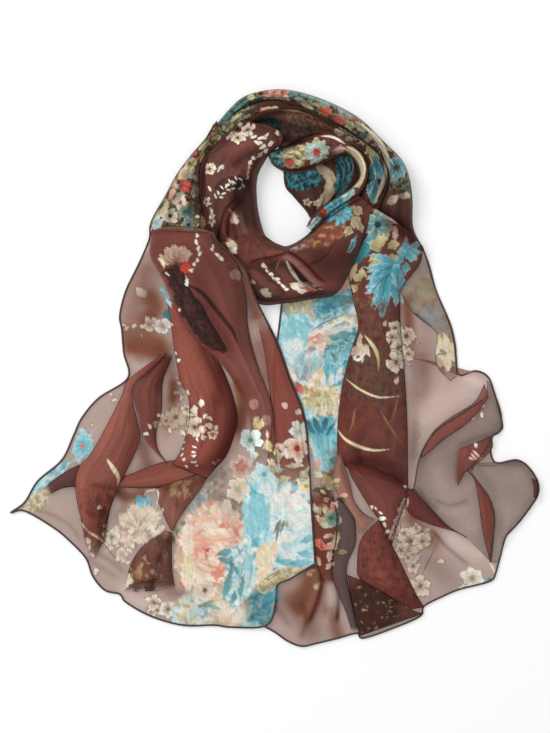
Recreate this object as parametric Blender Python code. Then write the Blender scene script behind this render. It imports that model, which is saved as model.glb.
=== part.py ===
# A printed chiffon scarf, lying flat. It is wound into one loop with a hanging front fold,
# and its two ends are spread out below. Each stretch that shows is one closed solid.
#
# Bundled stretches are rounded solids with a pleated top: the layers inside them are hidden.
# The spread ends are thin walls, laid in pleats, so a pleat is three layers of cloth.

import math

import bpy
import numpy as np

MM = 0.001

# Places are millimetres on a lay-out board, x to the right and y down from its corner.
# This point of the board is the model's origin, under the middle of the scarf.
BOARD_MID = (274.0, 366.0)

SEAM_GAP = 0.7  # between one stretch and the next
WALL = 1.2  # cloth wall of the spread ends
LAYER = 2.4  # from one layer of a pleat to the next, middle to middle
SETTLE = 8.0  # the top layer comes down over this length beyond a pleat
CLEAR_SHARE = 0.23  # but over no more than this share of the room beside it
ROLL_PLEAT = 1.6  # depth of the grooves along a bundled stretch
ROLL_POINTS = 13  # steps across the back of a bundled stretch, an odd number
ROLL_EDGE = 2.4  # higher makes a bundled stretch boxier

BROWN = (0.13, 0.045, 0.032)
DARK_BROWN = (0.085, 0.032, 0.026)
TEAL = (0.10, 0.42, 0.50)
OLIVE = (0.38, 0.36, 0.16)
CORAL = (0.55, 0.20, 0.14)

# Bundled stretches. Each row is a place along the stretch: a point on each of its two edges
# and the height of its back. Stretches that lie side by side share the points between them.
BACK_LEFT = (
    # outer x, y, inner x, y, height
    (151, 231, 208, 223.5, 18),
    (153, 214, 205.3, 213, 21),
    (161, 197, 202.6, 195, 23),
    (175, 174, 202, 177, 22),
    (190, 154, 204, 160, 18),
    (203, 140, 210, 148, 9),
)
BACK_OUTER = (
    (218, 124, 221, 129, 8),
    (227, 109, 236, 114, 16),
    (246, 95, 255, 103, 18),
    (275, 89, 277, 101, 20),
    (301, 92, 297, 106, 22),
    (333, 103, 323, 120, 24),
    (360, 118, 344, 132, 26),
    (381, 139, 365, 146, 26),
    (400, 160, 380, 160, 26),
    (411, 179, 387, 176, 26),
    (413, 200, 385, 190, 24),
    (414, 230, 376, 210, 20),
)
BACK_SECOND = (
    (210, 144, 214, 149, 9),
    (221, 129, 229, 135, 17),
    (236, 114, 245, 123, 21),
    (255, 103, 262, 115, 23),
    (277, 101, 281, 111, 21),
    (296, 105.5, 297, 107, 14),
)
BACK_INNER = (
    (262, 115.4, 267, 126, 14),
    (281, 111, 282, 131, 18),
    (298, 108.3, 284.6, 147.2, 20),
    (323, 120, 303.8, 140.6, 21),
    (344, 132, 324.2, 134.6, 21),
    (365, 146, 351, 148, 22),
    (380, 160, 364, 161, 22),
    (387, 176, 367, 179, 21),
    (385, 190, 361, 194, 19),
    (376, 206, 357, 198, 15),
)
INNER_CURL = (
    (271, 154, 274, 163, 10),
    (286, 150, 286, 170, 16),
    (304, 141, 304, 170, 20),
    (324, 135, 321, 163, 23),
    (351, 148, 347, 154, 25),
    (364, 161, 357, 164, 25),
    (367, 179, 360, 178, 24),
    (357, 197, 352, 190, 22),
    (342, 207, 337, 199, 20),
    (326, 219, 319, 211, 17),
    (313, 231, 308, 226, 12),
)
INNER_WALL = (
    (350, 158.5, 286, 177, 9),
    (357.5, 167, 286, 186, 11),
    (359.5, 178, 293, 195, 12),
    (351.5, 189.5, 300, 203, 12),
    (336.5, 198.5, 307, 211, 11),
    (319.2, 210.4, 312, 217, 8),
)
COWL_LEFT = (
    (245, 123, 266, 128, 15),
    (229, 135, 280, 134, 22),
    (214, 149, 280, 143, 27),
    (205, 160, 268, 156, 29),
    (202, 178, 260, 176, 30),
    (203, 200, 259, 199, 29),
    (208, 222, 259, 219, 27),
    (217, 243, 264, 236, 25),
)
COWL_FRONT = (
    (264.5, 236.6, 217.5, 243.6, 25),
    (270, 241, 240, 269, 24),
    (278, 244, 257, 301, 24),
    (287, 247, 284, 302, 27),
    (300, 241, 310, 298, 30),
    (313, 231, 336, 292, 30),
    (326, 219, 352, 264, 28),
    (342, 207, 363, 238, 25),
    (356.6, 198.5, 371, 204.5, 18),
)

# Spread ends. Each row is a line across the end: the height of its left and right ends over
# the surface, then a place for each named column, from the left edge to the right edge.
# A pleat has a lead, the folded edge that shows, and a back, the edge under it.
LEFT_END_COLUMNS = "edge bay lead_a back_a back_c lead_c back_d lead_d hem edge".split()
LEFT_END = (
    (9, 5, (151, 231.8), (156, 231.1), (160, 230.6), (165, 229.9), (175, 228.6),
     (180, 228), (189, 226.8), (194, 226.1), (200, 225.3), (207.5, 224.3)),
    (5, 4, (136, 267), (141, 268), (146, 270), (154, 270), (168, 268),
     (180, 266), (196, 258), (204, 254), (212, 250), (218, 246)),
    (3, 3, (127, 291), (134, 292), (143, 294), (153, 294), (167, 292),
     (188, 288), (206, 282), (220, 278), (230, 275), (239, 271)),
    (1, 2, (121, 313), (129, 314), (142, 318), (153, 318), (166, 315),
     (196, 312), (216, 310), (236, 308), (246, 306), (256, 303)),
    (0, 1, (123, 346), (130, 348), (144, 352), (156, 352), (174, 348),
     (210, 346), (226, 344), (250, 344), (262, 344), (276, 344)),
    (0, 0, (127, 379), (130, 380), (134, 386), (146, 390), (182, 382),
     (226, 382), (238, 382), (262, 382), (276, 382), (290, 382)),
    (0, 0, (84, 416), (96, 418), (110, 420), (136, 424), (186, 420),
     (236, 420), (246, 420), (272, 420), (288, 420), (304, 420)),
    (0, 0, (60, 460), (70, 461), (86, 462), (120, 466), (178, 458),
     (226, 460), (244, 462), (274, 462), (292, 462), (309, 462)),
    (0, 0, (27, 497), (42, 500), (80, 502), (106, 506), (172, 506),
     (194, 504), (246, 505), (266, 505), (290, 505), (311, 505)),
    (0, 0, (18, 506), (48, 514), (84, 534), (104, 540), (162, 548),
     (174, 548), (240, 550), (252, 550), (286, 548), (313, 540)),
    (0, 0, (10, 513), (54, 527), (92, 576), (106, 590), (154, 617),
     (162, 619), (232, 627), (240, 627), (274, 598), (315, 563)),
)
UNDER_END_COLUMNS = "edge bay back_u lead_u side edge".split()
UNDER_END = (
    (3, 3, (286, 303), (296, 302), (310, 299), (315, 298), (330, 295), (337, 293)),
    (0, 0, (279, 345), (292, 345), (316, 345), (322, 345), (336, 344), (344, 344)),
    (0, 0, (293, 384), (304, 384), (318, 384), (324, 384), (332, 384), (340, 384)),
    (0, 0, (307, 422), (312, 422), (320, 422), (325, 422), (330, 422), (336, 422)),
    (0, 0, (312, 462), (314, 462), (318, 462), (323, 462), (328, 462), (333, 462)),
    (0, 0, (314, 506), (317, 507), (325, 508), (331, 509), (339, 511), (347, 512)),
    (0, 0, (316, 545), (320, 546), (334, 548), (341, 548), (352, 548), (361, 548)),
    (0, 0, (319, 567), (322, 570), (336, 580), (344, 582), (354, 582), (361, 582)),
    (0, 0, (278, 600.5), (290, 606), (328, 614), (338, 614), (366, 610), (379, 608)),
    (0, 0, (266.5, 628.5), (290, 642), (326, 641), (338, 639), (364, 634), (392, 628)),
)
RIGHT_END_COLUMNS = "edge bay back_x lead_x lead_k back_k side edge".split()
RIGHT_END = (
    (7, 7, (370, 209), (374, 211), (383, 215), (389, 218),
     (401, 224), (406, 227), (410, 229), (414, 231)),
    (6, 4, (363.5, 238), (368, 239), (382, 242), (391, 244),
     (405, 247), (412, 248), (418, 249), (424, 250)),
    (4, 2, (352.5, 264), (360, 265), (383, 268), (394, 270),
     (412, 274), (420, 274), (426, 275), (432, 276)),
    (2, 0, (345, 300), (354, 300), (384, 300), (398, 300),
     (420, 304), (430, 304), (438, 304), (443, 305)),
    (0, 0, (346, 345), (356, 345), (384, 345), (402, 345),
     (434, 350), (444, 350), (450, 350), (456, 350)),
    (0, 0, (341, 392), (352, 392), (386, 392), (406, 392),
     (444, 386), (456, 384), (474, 376), (490, 382)),
    (0, 0, (336, 438), (350, 438), (388, 438), (408, 438),
     (436, 440), (462, 442), (484, 436), (499, 430)),
    (0, 0, (347, 486), (356, 486), (390, 486), (409, 486),
     (450, 482), (470, 478), (494, 466), (517, 461)),
    (0, 0, (363, 536), (368, 536), (390, 534), (404, 534),
     (474, 520), (490, 514), (520, 500), (538, 486)),
    (0, 0, (363, 580), (368, 581), (398, 582), (414, 580),
     (484, 556), (494, 548), (507, 533), (523, 514)),
    (0, 0, (393, 626), (396, 624), (414, 610), (424, 606),
     (478, 586), (490, 580), (497, 568), (506, 538)),
)


def place(x, y, z):
    """A point of the board, at a height, in the model's metres."""
    return ((x - BOARD_MID[0]) * MM, (BOARD_MID[1] - y) * MM, z * MM)


def between(rows, steps):
    """The rows with smooth rows put in between them, by Catmull-Rom curves."""
    rows = np.array(rows, float)
    ends = (2 * rows[:1] - rows[1:2], 2 * rows[-1:] - rows[-2:-1])
    held = np.vstack((ends[0], rows, ends[1]))
    out = []
    for i in range(len(rows) - 1):
        a, b, c, d = held[i : i + 4]
        for t in np.arange(steps) / steps:
            out.append(
                b
                + 0.5 * t * (c - a)
                + t * t * (a - 2.5 * b + 2 * c - 0.5 * d)
                + t**3 * (-0.5 * a + 1.5 * b - 1.5 * c + 0.5 * d)
            )
    out.append(rows[-1])
    return np.array(out)


def roll_loop(row, grooves):
    """One closed outline across a bundled stretch: a flat foot and a grooved round back."""
    outer, inner, height = row[0:2], row[2:4], row[4]
    across = inner - outer
    width = np.linalg.norm(across)
    outer = outer + across / width * SEAM_GAP / 2
    across = across * (1 - SEAM_GAP / width)
    loop = [(*outer, 0)]
    for i in range(1, ROLL_POINTS):
        u = i / ROLL_POINTS
        back = (1 - abs(2 * u - 1) ** ROLL_EDGE) ** (1 / ROLL_EDGE)
        groove = ROLL_PLEAT * min(1, height / 16) * math.sin(math.pi * grooves * u) ** 2
        loop.append((*(outer + across * u), back * height - groove * back))
    loop.append((*(outer + across), 0))
    return loop


def fold_points(column, towards, low, high):
    """Half a circle of cloth at a folded edge, from one layer's height to another's."""
    radius = abs(high - low) / 2
    points = []
    for angle in (-90, -30, 30, 90):
        turn = math.radians(angle)
        out = column + towards * radius * math.cos(turn)
        rise = math.copysign(radius, high - low) * math.sin(turn)
        points.append((*out, (low + high) / 2 + rise))
    return points


def end_line(names, spots):
    """The middle of the cloth along one line across a spread end, pleats folded."""
    heights = [WALL / 2 + LAYER * level for level in range(3)]
    across = spots[-1] - spots[0]
    across = across / np.linalg.norm(across)
    points = []
    for i, name in enumerate(names):
        if not name.startswith(("back", "lead")):
            points.append((*spots[i], heights[0]))
            continue
        if names[i - 1][-2:] == name[-2:]:
            continue  # a pleat's second place, done with its first
        faces_right = name.startswith("back")
        back, lead = (spots[i], spots[i + 1]) if faces_right else (spots[i + 1], spots[i])
        beside = spots[i - 1] if faces_right else spots[i + 2]
        out = (lead - back) / np.linalg.norm(lead - back)
        # The top layer comes down between the pleat and the next place beside it.
        room = (back - beside) @ out
        clear = back - out * min(LAYER / 2 + WALL, CLEAR_SHARE * room)
        foot = clear - out * min(SETTLE, CLEAR_SHARE * room)
        over = [(*foot, heights[0]), (*clear, heights[2])]
        over += fold_points(lead, out, heights[2], heights[1])
        over += fold_points(back, -out, heights[1], heights[0])
        points += over if faces_right else over[::-1]
    return np.array(points), across


def wall_loop(names, row):
    """The closed outline of the cloth wall along one line across a spread end."""
    lift_left, lift_right = row[:2]
    spots = row[2:].reshape(len(names), 2)
    line, across = end_line(names, spots)
    run = (line[:, :2] - spots[0]) @ across
    share = np.clip(run / run.max(), 0, 1)
    line[:, 2] += np.maximum(0, lift_left + (lift_right - lift_left) * share)
    along = np.stack((line[:, :2] @ across, line[:, 2]), axis=1)
    steps = np.diff(along, axis=0)
    steps /= np.linalg.norm(steps, axis=1)[:, None]
    before = np.vstack((steps[:1], steps))
    after = np.vstack((steps, steps[-1:]))
    mean = before + after
    mean /= np.linalg.norm(mean, axis=1)[:, None]
    mitre = 1 / np.clip((mean * after).sum(axis=1), 0.75, 1)
    normal = np.stack((-mean[:, 1], mean[:, 0]), axis=1) * (mitre * WALL / 2)[:, None]
    push = np.concatenate((normal[:, :1] * across, normal[:, 1:]), axis=1)
    top, bottom = line + push, line - push
    bottom[:, 2] = np.maximum(0, bottom[:, 2])
    return np.vstack((top, bottom[::-1]))


def solid(name, loops, colour, roughness=0.7):
    """A closed solid through a row of outlines that have the same number of points."""
    count = len(loops[0])
    verts = [place(*point) for loop in loops for point in loop]
    faces = []
    for i in range(len(loops) - 1):
        for j in range(count):
            k = (j + 1) % count
            a, b = i * count, (i + 1) * count
            faces.append((a + j, a + k, b + k, b + j))
    last = (len(loops) - 1) * count
    faces += end_cap(count, 0) + [face[::-1] for face in end_cap(count, last)]
    mesh = bpy.data.meshes.new(name)
    mesh.from_pydata(verts, [], faces)
    if signed_volume(mesh) < 0:
        mesh.flip_normals()
    mesh.shade_smooth()
    mesh.materials.append(cloth_material(name, colour, roughness))
    made = bpy.data.objects.new(name, mesh)
    bpy.context.scene.collection.objects.link(made)
    return made


def end_cap(count, start):
    """Faces that close an end: the outline's first half lies over its second half."""
    return [
        (start + j + 1, start + j, start + count - 1 - j, start + count - 2 - j)
        for j in range(count // 2 - 1)
    ]


def signed_volume(mesh):
    mesh.calc_loop_triangles()
    total = 0.0
    for triangle in mesh.loop_triangles:
        a, b, c = (mesh.vertices[i].co for i in triangle.vertices)
        total += a.dot(b.cross(c))
    return total


def cloth_material(name, colour, roughness):
    material = bpy.data.materials.new(name)
    material.use_nodes = True
    shader = material.node_tree.nodes["Principled BSDF"]
    shader.inputs["Base Color"].default_value = (*colour, 1)
    shader.inputs["Roughness"].default_value = roughness
    shader.inputs["Metallic"].default_value = 0
    return material


def bundled(name, rows, grooves, colour, steps=2):
    loops = [roll_loop(row, grooves) for row in between(rows, steps)]
    return solid(name, loops, colour)


def spread(name, columns, rows, colour, steps=2):
    flat = [(*row[:2], *(n for spot in row[2:] for n in spot)) for row in rows]
    loops = [wall_loop(columns, row) for row in between(flat, steps)]
    return solid(name, loops, colour)


def main():
    for old in list(bpy.data.objects):
        bpy.data.objects.remove(old)
    bundled("back_left", BACK_LEFT, 2, OLIVE)
    bundled("back_outer", BACK_OUTER, 2, TEAL)
    bundled("back_second", BACK_SECOND, 1, TEAL)
    bundled("back_inner", BACK_INNER, 1, CORAL)
    bundled("inner_curl", INNER_CURL, 1, TEAL)
    bundled("inner_wall", INNER_WALL, 3, TEAL)
    bundled("cowl_left", COWL_LEFT, 3, BROWN)
    bundled("cowl_front", COWL_FRONT, 3, DARK_BROWN)
    spread("left_end", LEFT_END_COLUMNS, LEFT_END, BROWN)
    spread("under_end", UNDER_END_COLUMNS, UNDER_END, TEAL)
    spread("right_end", RIGHT_END_COLUMNS, RIGHT_END, BROWN)


main()
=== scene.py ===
import math

import bpy
import numpy as np
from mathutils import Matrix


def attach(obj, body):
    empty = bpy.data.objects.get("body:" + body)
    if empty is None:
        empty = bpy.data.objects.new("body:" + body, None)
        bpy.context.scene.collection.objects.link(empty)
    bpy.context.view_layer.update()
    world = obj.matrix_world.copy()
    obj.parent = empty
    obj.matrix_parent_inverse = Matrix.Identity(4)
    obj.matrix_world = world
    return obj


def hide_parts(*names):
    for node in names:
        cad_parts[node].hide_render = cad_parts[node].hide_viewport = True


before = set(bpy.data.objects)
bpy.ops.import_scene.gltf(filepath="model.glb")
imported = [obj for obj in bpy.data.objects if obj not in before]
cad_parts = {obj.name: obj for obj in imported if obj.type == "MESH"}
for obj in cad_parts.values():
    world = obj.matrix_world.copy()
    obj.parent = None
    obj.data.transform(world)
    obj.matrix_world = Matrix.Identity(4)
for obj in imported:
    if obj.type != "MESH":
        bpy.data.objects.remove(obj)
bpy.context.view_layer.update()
print("frame loaded:", len(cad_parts), "nodes")

# Places are millimetres on a lay-out board, x to the right and y down from its corner. Lines and
# outlines are runs of numbers x, y, x, y and so on.
board = {"midX": 274.0, "midY": 366.0, "unit": 0.001}


# Points of the board as places on the floor, in metres.
def onFloor(points):
    placed = np.stack([points[:, 0] - board["midX"], board["midY"] - points[:, 1], points[:, 2]], axis=1)
    return placed * board["unit"]


# Such a run as rows of x, y.
def pairs(numbers):
    return np.array(numbers, float).reshape(-1, 2)


def lengthOf(line):
    return np.linalg.norm(np.diff(line, axis=0), axis=1).sum()


def cosSin(degrees):
    angle = math.radians(degrees)
    return math.cos(angle), math.sin(angle)


# count places at even steps along a smooth curve through the points.
def smoothLine(points, count):
    p = np.array(points, float)
    held = np.vstack((2 * p[:1] - p[1:2], p, 2 * p[-1:] - p[-2:-1]))
    fine = []
    for i in range(len(p) - 1):
        a, b, c, d = held[i : i + 4]
        t = (np.arange(12) / 12)[:, None]
        fine.append(
            b + 0.5 * t * (c - a) + t**2 * (a - 2.5 * b + 2 * c - 0.5 * d)
            + t**3 * (-0.5 * a + 1.5 * b - 1.5 * c + 0.5 * d)
        )
    fine = np.vstack(fine + [p[-1:]])
    run = np.concatenate([[0], np.cumsum(np.linalg.norm(np.diff(fine[:, :2], axis=0), axis=1))])
    at = np.linspace(0, run[-1], count)
    return np.stack([np.interp(at, run, fine[:, k]) for k in range(p.shape[1])], axis=1)


# The places at these shares of a finely stepped line.
def pickedAt(line, shares):
    at, steps = shares * (len(line) - 1), np.arange(len(line))
    return np.stack([np.interp(at, steps, line[:, k]) for k in (0, 1)], axis=1)


# Shares from 0 to 1 at even steps, with closer ones near both ends.
def evenly(length, step, rim):
    count = max(2, int(math.ceil(length / step)))
    inner = np.linspace(0, 1, count + 1)
    near = [r / length for r in rim if r < 0.3 * length]
    extra = near + [1 - r for r in near]
    shares = np.unique(np.round(np.concatenate([inner, extra]), 5))
    return shares[np.concatenate([[True], np.diff(shares) > 0.2 / length])]


# Places with their heights.
def raised(xy, z):
    return np.concatenate([xy, z[..., None]], axis=-1)


def smooth01(x):
    x = np.clip(x, 0, 1)
    return x * x * (3 - 2 * x)


# What already lies on the board, as a field of heights in millimetres.
pile = {"cell": 1.6, "left": -20.0, "top": 50.0, "across": 380, "down": 400}
pileHeights = np.zeros((pile["down"], pile["across"]))


def fieldAt(field, xy):
    gx = np.clip((xy[..., 0] - pile["left"]) / pile["cell"], 0, pile["across"] - 1.001)
    gy = np.clip((xy[..., 1] - pile["top"]) / pile["cell"], 0, pile["down"] - 1.001)
    ix, iy = gx.astype(int), gy.astype(int)
    fx, fy = gx - ix, gy - iy
    low = field[iy, ix] * (1 - fx) + field[iy, ix + 1] * fx
    high = field[iy + 1, ix] * (1 - fx) + field[iy + 1, ix + 1] * fx
    return low * (1 - fy) + high * fy


# Each cell takes the highest value of the cells round it.
def widened(field, cells):
    for axis in (0, 1):
        grown = field
        for move in range(1, cells + 1):
            grown = np.maximum(grown, np.maximum(np.roll(field, move, axis), np.roll(field, -move, axis)))
        field = grown
    return field


# Three box blurs, which come close to a round one.
def softened(field, cells):
    width = 2 * cells + 1
    for axis in (0, 1, 0, 1, 0, 1):
        padded = np.concatenate([np.zeros_like(np.take(field, [0], axis)), np.cumsum(field, axis)], axis)
        size = field.shape[axis]
        low = np.clip(np.arange(size) - cells, 0, size)
        high = np.clip(np.arange(size) + cells + 1, 0, size)
        field = (np.take(padded, high, axis) - np.take(padded, low, axis)) / width
    return field


# Heights of cloth that is laid on the pile at these places.
def layOn(xy, gap, reach):
    near = fieldAt(widened(pileHeights, 1), xy)
    eased = fieldAt(softened(widened(pileHeights, reach), reach), xy)
    return np.maximum(near, eased) + gap


def addToPile(xy, z):
    ix = np.clip(((xy[..., 0] - pile["left"]) / pile["cell"]).round().astype(int), 0, pile["across"] - 1)
    iy = np.clip(((xy[..., 1] - pile["top"]) / pile["cell"]).round().astype(int), 0, pile["down"] - 1)
    np.maximum.at(pileHeights, (iy.ravel(), ix.ravel()), z.ravel())


# The distance of each place from a line of points, and how far along the line it is, 0 to 1.
def nearLine(xy, line):
    best = np.full(len(xy), 1e9)
    along = np.zeros(len(xy))
    steps = np.diff(line, axis=0)
    lengths = np.linalg.norm(steps, axis=1)
    run = np.concatenate([[0], np.cumsum(lengths)])
    for i, step in enumerate(steps):
        rest = xy - line[i]
        t = np.clip((rest @ step) / max(lengths[i] ** 2, 1e-9), 0, 1)
        away = np.linalg.norm(rest - t[:, None] * step, axis=1)
        closer = away < best
        best[closer] = away[closer]
        along[closer] = (run[i] + t[closer] * lengths[i]) / run[-1]
    return best, along


# Soft ridges and troughs at given places: (places, half width, height).
def creased(xy, creases):
    flat = xy.reshape(-1, 2)
    z = np.zeros(len(flat))
    for places, width, height in creases:
        places = pairs(places)
        line = smoothLine(places, 5 * len(places))
        low, high = line.min(0) - 2.6 * width, line.max(0) + 2.6 * width
        inside = np.flatnonzero(((flat > low) & (flat < high)).all(axis=1))
        if not len(inside):
            continue
        away, along = nearLine(flat[inside], line)
        taper = smooth01(np.minimum(along, 1 - along) * 4)
        z[inside] += height * taper * np.exp(-((away / width) ** 2))
    return z.reshape(xy.shape[:-1])


# A slow unevenness, the sum of a few waves.
def ripples(xy, size, height, seed):
    draw = np.random.default_rng(seed)
    z = np.zeros(xy.shape[:-1])
    for turn in range(7):
        angle = draw.uniform(0, math.pi)
        length = size * draw.uniform(0.6, 1.8)
        way = np.array([math.cos(angle), math.sin(angle)]) * 2 * math.pi / length
        z += np.sin(xy @ way + draw.uniform(0, 6.28)) / 7
    return height * z * 1.6


# Triangles between two rows that have different columns.
def stitched(above, below, aboveAt, belowAt, faceUp):
    faces = []
    i = j = 0
    while i < len(above) - 1 or j < len(below) - 1:
        nextAbove = aboveAt[i + 1] if i < len(above) - 1 else np.inf
        nextBelow = belowAt[j + 1] if j < len(below) - 1 else np.inf
        if nextAbove <= nextBelow:
            face = [above[i], below[j], above[i + 1]]
            i += 1
        else:
            face = [above[i], below[j], below[j + 1]]
            j += 1
        faces.append([int(k) for k in (face if faceUp else face[::-1])])
    return faces


def inScene(name, data):
    made = bpy.data.objects.new(name, data)
    bpy.context.scene.collection.objects.link(made)
    return made


# A piece of the scarf, made from points of the board.
def newPiece(name, points, faces, material):
    mesh = bpy.data.meshes.new(name)
    mesh.from_pydata(onFloor(points).tolist(), [], faces)
    mesh.shade_smooth()
    mesh.materials.append(material)
    made = inScene(name, mesh)
    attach(made, "root")
    return made


def storeValues(mesh, name, values):
    mesh.attributes.new(name, "FLOAT", "POINT").data.foreach_set("value", values.astype(np.float32))


# One piece of cloth, gathered from sheets: its points, faces and what is known at each point.
class Cloth:
    def __init__(self, name, nodes):
        self.name, self.nodes = name, nodes
        self.faces, self.known, self.count = [], [], 0

    # Adds one grid of points. edge is the distance from the nearest folded edge; look is how
    # many layers the eye takes the cloth for, and how light its ground is; dim is the shade
    # painted into its colour.
    def sheet(self, xyz, printXy, edge, tag, look, faceUp=True, dim=1.0, step=1.0):
        down, across = xyz.shape[:2]
        spacing = np.linalg.norm(np.diff(xyz, axis=1), axis=2).mean(axis=1)
        strides = np.clip(np.round(0.92 * step / spacing), 1, 4).astype(int)
        columns = [np.unique(np.append(np.arange(0, across, stride), across - 1)) for stride in strides]
        index = np.full((down, across), -1)
        kept = np.concatenate([row * across + few for row, few in enumerate(columns)])
        index.ravel()[kept] = self.count + np.arange(len(kept))
        for row in range(down - 1):
            above, below = index[row, columns[row]], index[row + 1, columns[row + 1]]
            if len(above) == len(below):
                quads = np.stack([above[:-1], below[:-1], below[1:], above[1:]], axis=-1)
                self.faces += (quads if faceUp else quads[:, ::-1]).tolist()
            else:
                self.faces += stitched(above, below, columns[row], columns[row + 1], faceUp)
        flat = down * across
        known = {
            "place": xyz.reshape(flat, 3),
            "print": printXy.reshape(flat, 2),
            "edge": np.broadcast_to(edge, (down, across)).reshape(flat),
            "layers": np.broadcast_to(look[0], (down, across)).reshape(flat),
            "tone": np.broadcast_to(look[1], (flat, 3)),
            "dim": np.broadcast_to(dim, (down, across)).reshape(flat),
            "tag": np.full(flat, tag, dtype=object),
        }
        self.known.append({key: value[kept] for key, value in known.items()})
        self.count += len(kept)

    def gather(self, key):
        return np.concatenate([k[key] for k in self.known])

    def build(self, material):
        made = newPiece(self.name, self.gather("place"), self.faces, material)
        storeValues(made.data, "edge", self.gather("edge"))
        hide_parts(*self.nodes)
        return made


# The steps of the grids in mm: of flat sheets, of bundled strands, and the closer ones near a side.
weaveStep, ropeStep, rimSteps = 1.0, 0.8, (0.4, 1.1)


# Lies of the cloth along a fold: thin uneven troughs and ridges, in millimetres.
def pulled(across, along, count, height, seed):
    draw = np.random.default_rng(seed)
    relief = np.zeros(np.broadcast(across, along).shape)
    for turn in range(count):
        start = draw.uniform(0.04, 0.96)
        end = start + draw.uniform(-0.22, 0.22)
        line = start + (end - start) * along + 0.03 * np.sin(5 * along + 9 * start)
        away = (across - line) / draw.uniform(0.02, 0.075)
        away = away * np.where(away > 0, 2.2, 1.0)
        fade = np.exp(-(((along - draw.uniform(0, 1)) / draw.uniform(0.16, 0.5)) ** 2))
        deep = height * draw.uniform(0.4, 1.0)
        relief += fade * (0.5 * deep * np.exp(-((away + 1.6) ** 2)) - deep * np.exp(-(away**2)))
    return relief


# A grid of places between two lines that run the same way, and its distances from the sides.
def ruled(left, right):
    roughL, roughR = (smoothLine(pairs(line), 40) for line in (left, right))
    v = evenly(max(lengthOf(roughL), lengthOf(roughR)), weaveStep, rimSteps)
    u = evenly(np.linalg.norm(roughR - roughL, axis=1).max(), weaveStep, rimSteps)
    a, b = (pickedAt(smoothLine(pairs(line), 400), v)[:, None] for line in (left, right))
    xy = a * (1 - u[None, :, None]) + b * u[None, :, None]
    return xy, sideDistances(xy)


# How far each place of a grid is from its left, right, top and bottom side.
def sideDistances(xy):
    stepU = np.linalg.norm(np.diff(xy, axis=1), axis=2)
    runU = np.concatenate([np.zeros((len(xy), 1)), np.cumsum(stepU, axis=1)], axis=1)
    stepV = np.linalg.norm(np.diff(xy, axis=0), axis=2)
    runV = np.concatenate([np.zeros((1, xy.shape[1])), np.cumsum(stepV, axis=0)], axis=0)
    return {"left": runU, "right": runU[:, -1:] - runU, "top": runV, "bottom": runV[-1:] - runV}


# A grid of places inside four lines: top and bottom run right, left and right run down.
def patch(top, bottom, left, right):
    lines = [pairs(line) for line in (top, bottom, left, right)]
    lengths = [lengthOf(smoothLine(line, 60)) for line in lines]
    u = evenly(max(lengths[:2]), 1.08 * weaveStep, rimSteps)
    v = evenly(max(lengths[2:]), 1.08 * weaveStep, rimSteps)
    t, b, l, r = (pickedAt(smoothLine(line, 1200), at) for line, at in zip(lines, (u, u, v, v)))
    uu, vv = u[None, :, None], v[:, None, None]
    xy = (1 - vv) * t[None] + vv * b[None] + (1 - uu) * l[:, None] + uu * r[:, None]
    xy -= (1 - uu) * (1 - vv) * t[0] + uu * (1 - vv) * t[-1] + (1 - uu) * vv * b[0] + uu * vv * b[-1]
    return xy, sideDistances(xy)


# Every third row, with all of those near both ends.
def thinned(count):
    ends = np.arange(4)
    return np.unique(np.concatenate([np.arange(0, count, 3), ends, count - 1 - ends]).clip(0, count - 1))


# How folds lie: the gap below and the thickness in mm, how round the folded edges are, how long
# the ripples, and how much painted shade the lies of the cloth and the side away from the light give it.
foldLie = {"gap": 0.9, "thick": 0.9, "round": 1.6, "ripple": 26, "relief": 0.32, "shaded": 0.26}


# A flat fold of the cloth: two layers that meet in rounded edges. An open end thins out into
# the cloth that it comes from.
def foldedOver(cloth, tag, left, right, puff, look, opened, seed):
    xy, sides = ruled(left, right)
    rim = np.minimum.reduce(list(sides.values()))
    edge = np.full(xy.shape[:2], 99.0)
    layers = np.full(xy.shape[:2], float(look[0]))
    for side, away in sides.items():
        if side in opened:
            layers *= smooth01(away / opened[side])
        else:
            edge = np.minimum(edge, away)
    edge = edge + 6 * (1 - smooth01(layers / look[0] * 1.4))
    width = sides["left"] + sides["right"]
    share = sides["left"] / np.maximum(width, 1e-6)
    low = layOn(xy, foldLie["gap"], 3)
    swell = np.sin(math.pi * share) ** 0.8
    fill = np.clip(width / 30, 0.15, 1) * smooth01(np.minimum(sides["top"], sides["bottom"]) / 12)
    along = sides["top"] / np.maximum(sides["top"] + sides["bottom"], 1e-6)
    relief = pulled(share, along, int(3 + width.max() / 8), 1.0, seed + 50)
    relief = relief * smooth01(rim / 4) * smooth01(width / 24)
    high = low + foldLie["thick"] + puff * swell * fill + 0.5 * relief
    high = high + np.maximum(0, ripples(xy, foldLie["ripple"], 0.5, seed))
    closeness = np.sqrt(np.clip(1 - (1 - np.clip(rim / foldLie["round"], 0, 1)) ** 2, 0, 1))
    middle = (low + high) / 2
    lower = middle + (low - middle) * closeness
    upper = np.maximum(middle + (high - middle) * closeness, lower)
    rows, columns = thinned(len(xy)), thinned(xy.shape[1])
    few = np.ix_(rows, columns)
    cloth.sheet(raised(xy, lower)[few], xy[few], edge[few], "under", (layers[few], look[1]), faceUp=False)
    # Painted shade: darker in the troughs of its lies and towards the side away from the light.
    dim = (1 + foldLie["relief"] * relief) * (1.06 - foldLie["shaded"] * smooth01(share * 1.3 - 0.3))
    cloth.sheet(raised(xy, upper), xy, edge, tag, (layers, look[1]), dim=dim)
    addToPile(xy, upper)


# One layer of the cloth that lies over what is there; its folded sides curl down.
def laidOver(cloth, tag, left, right, **more):
    xy, sides = ruled(left, right)
    return singleLayer(cloth, tag, xy, sides, list(sides), **more)


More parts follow.
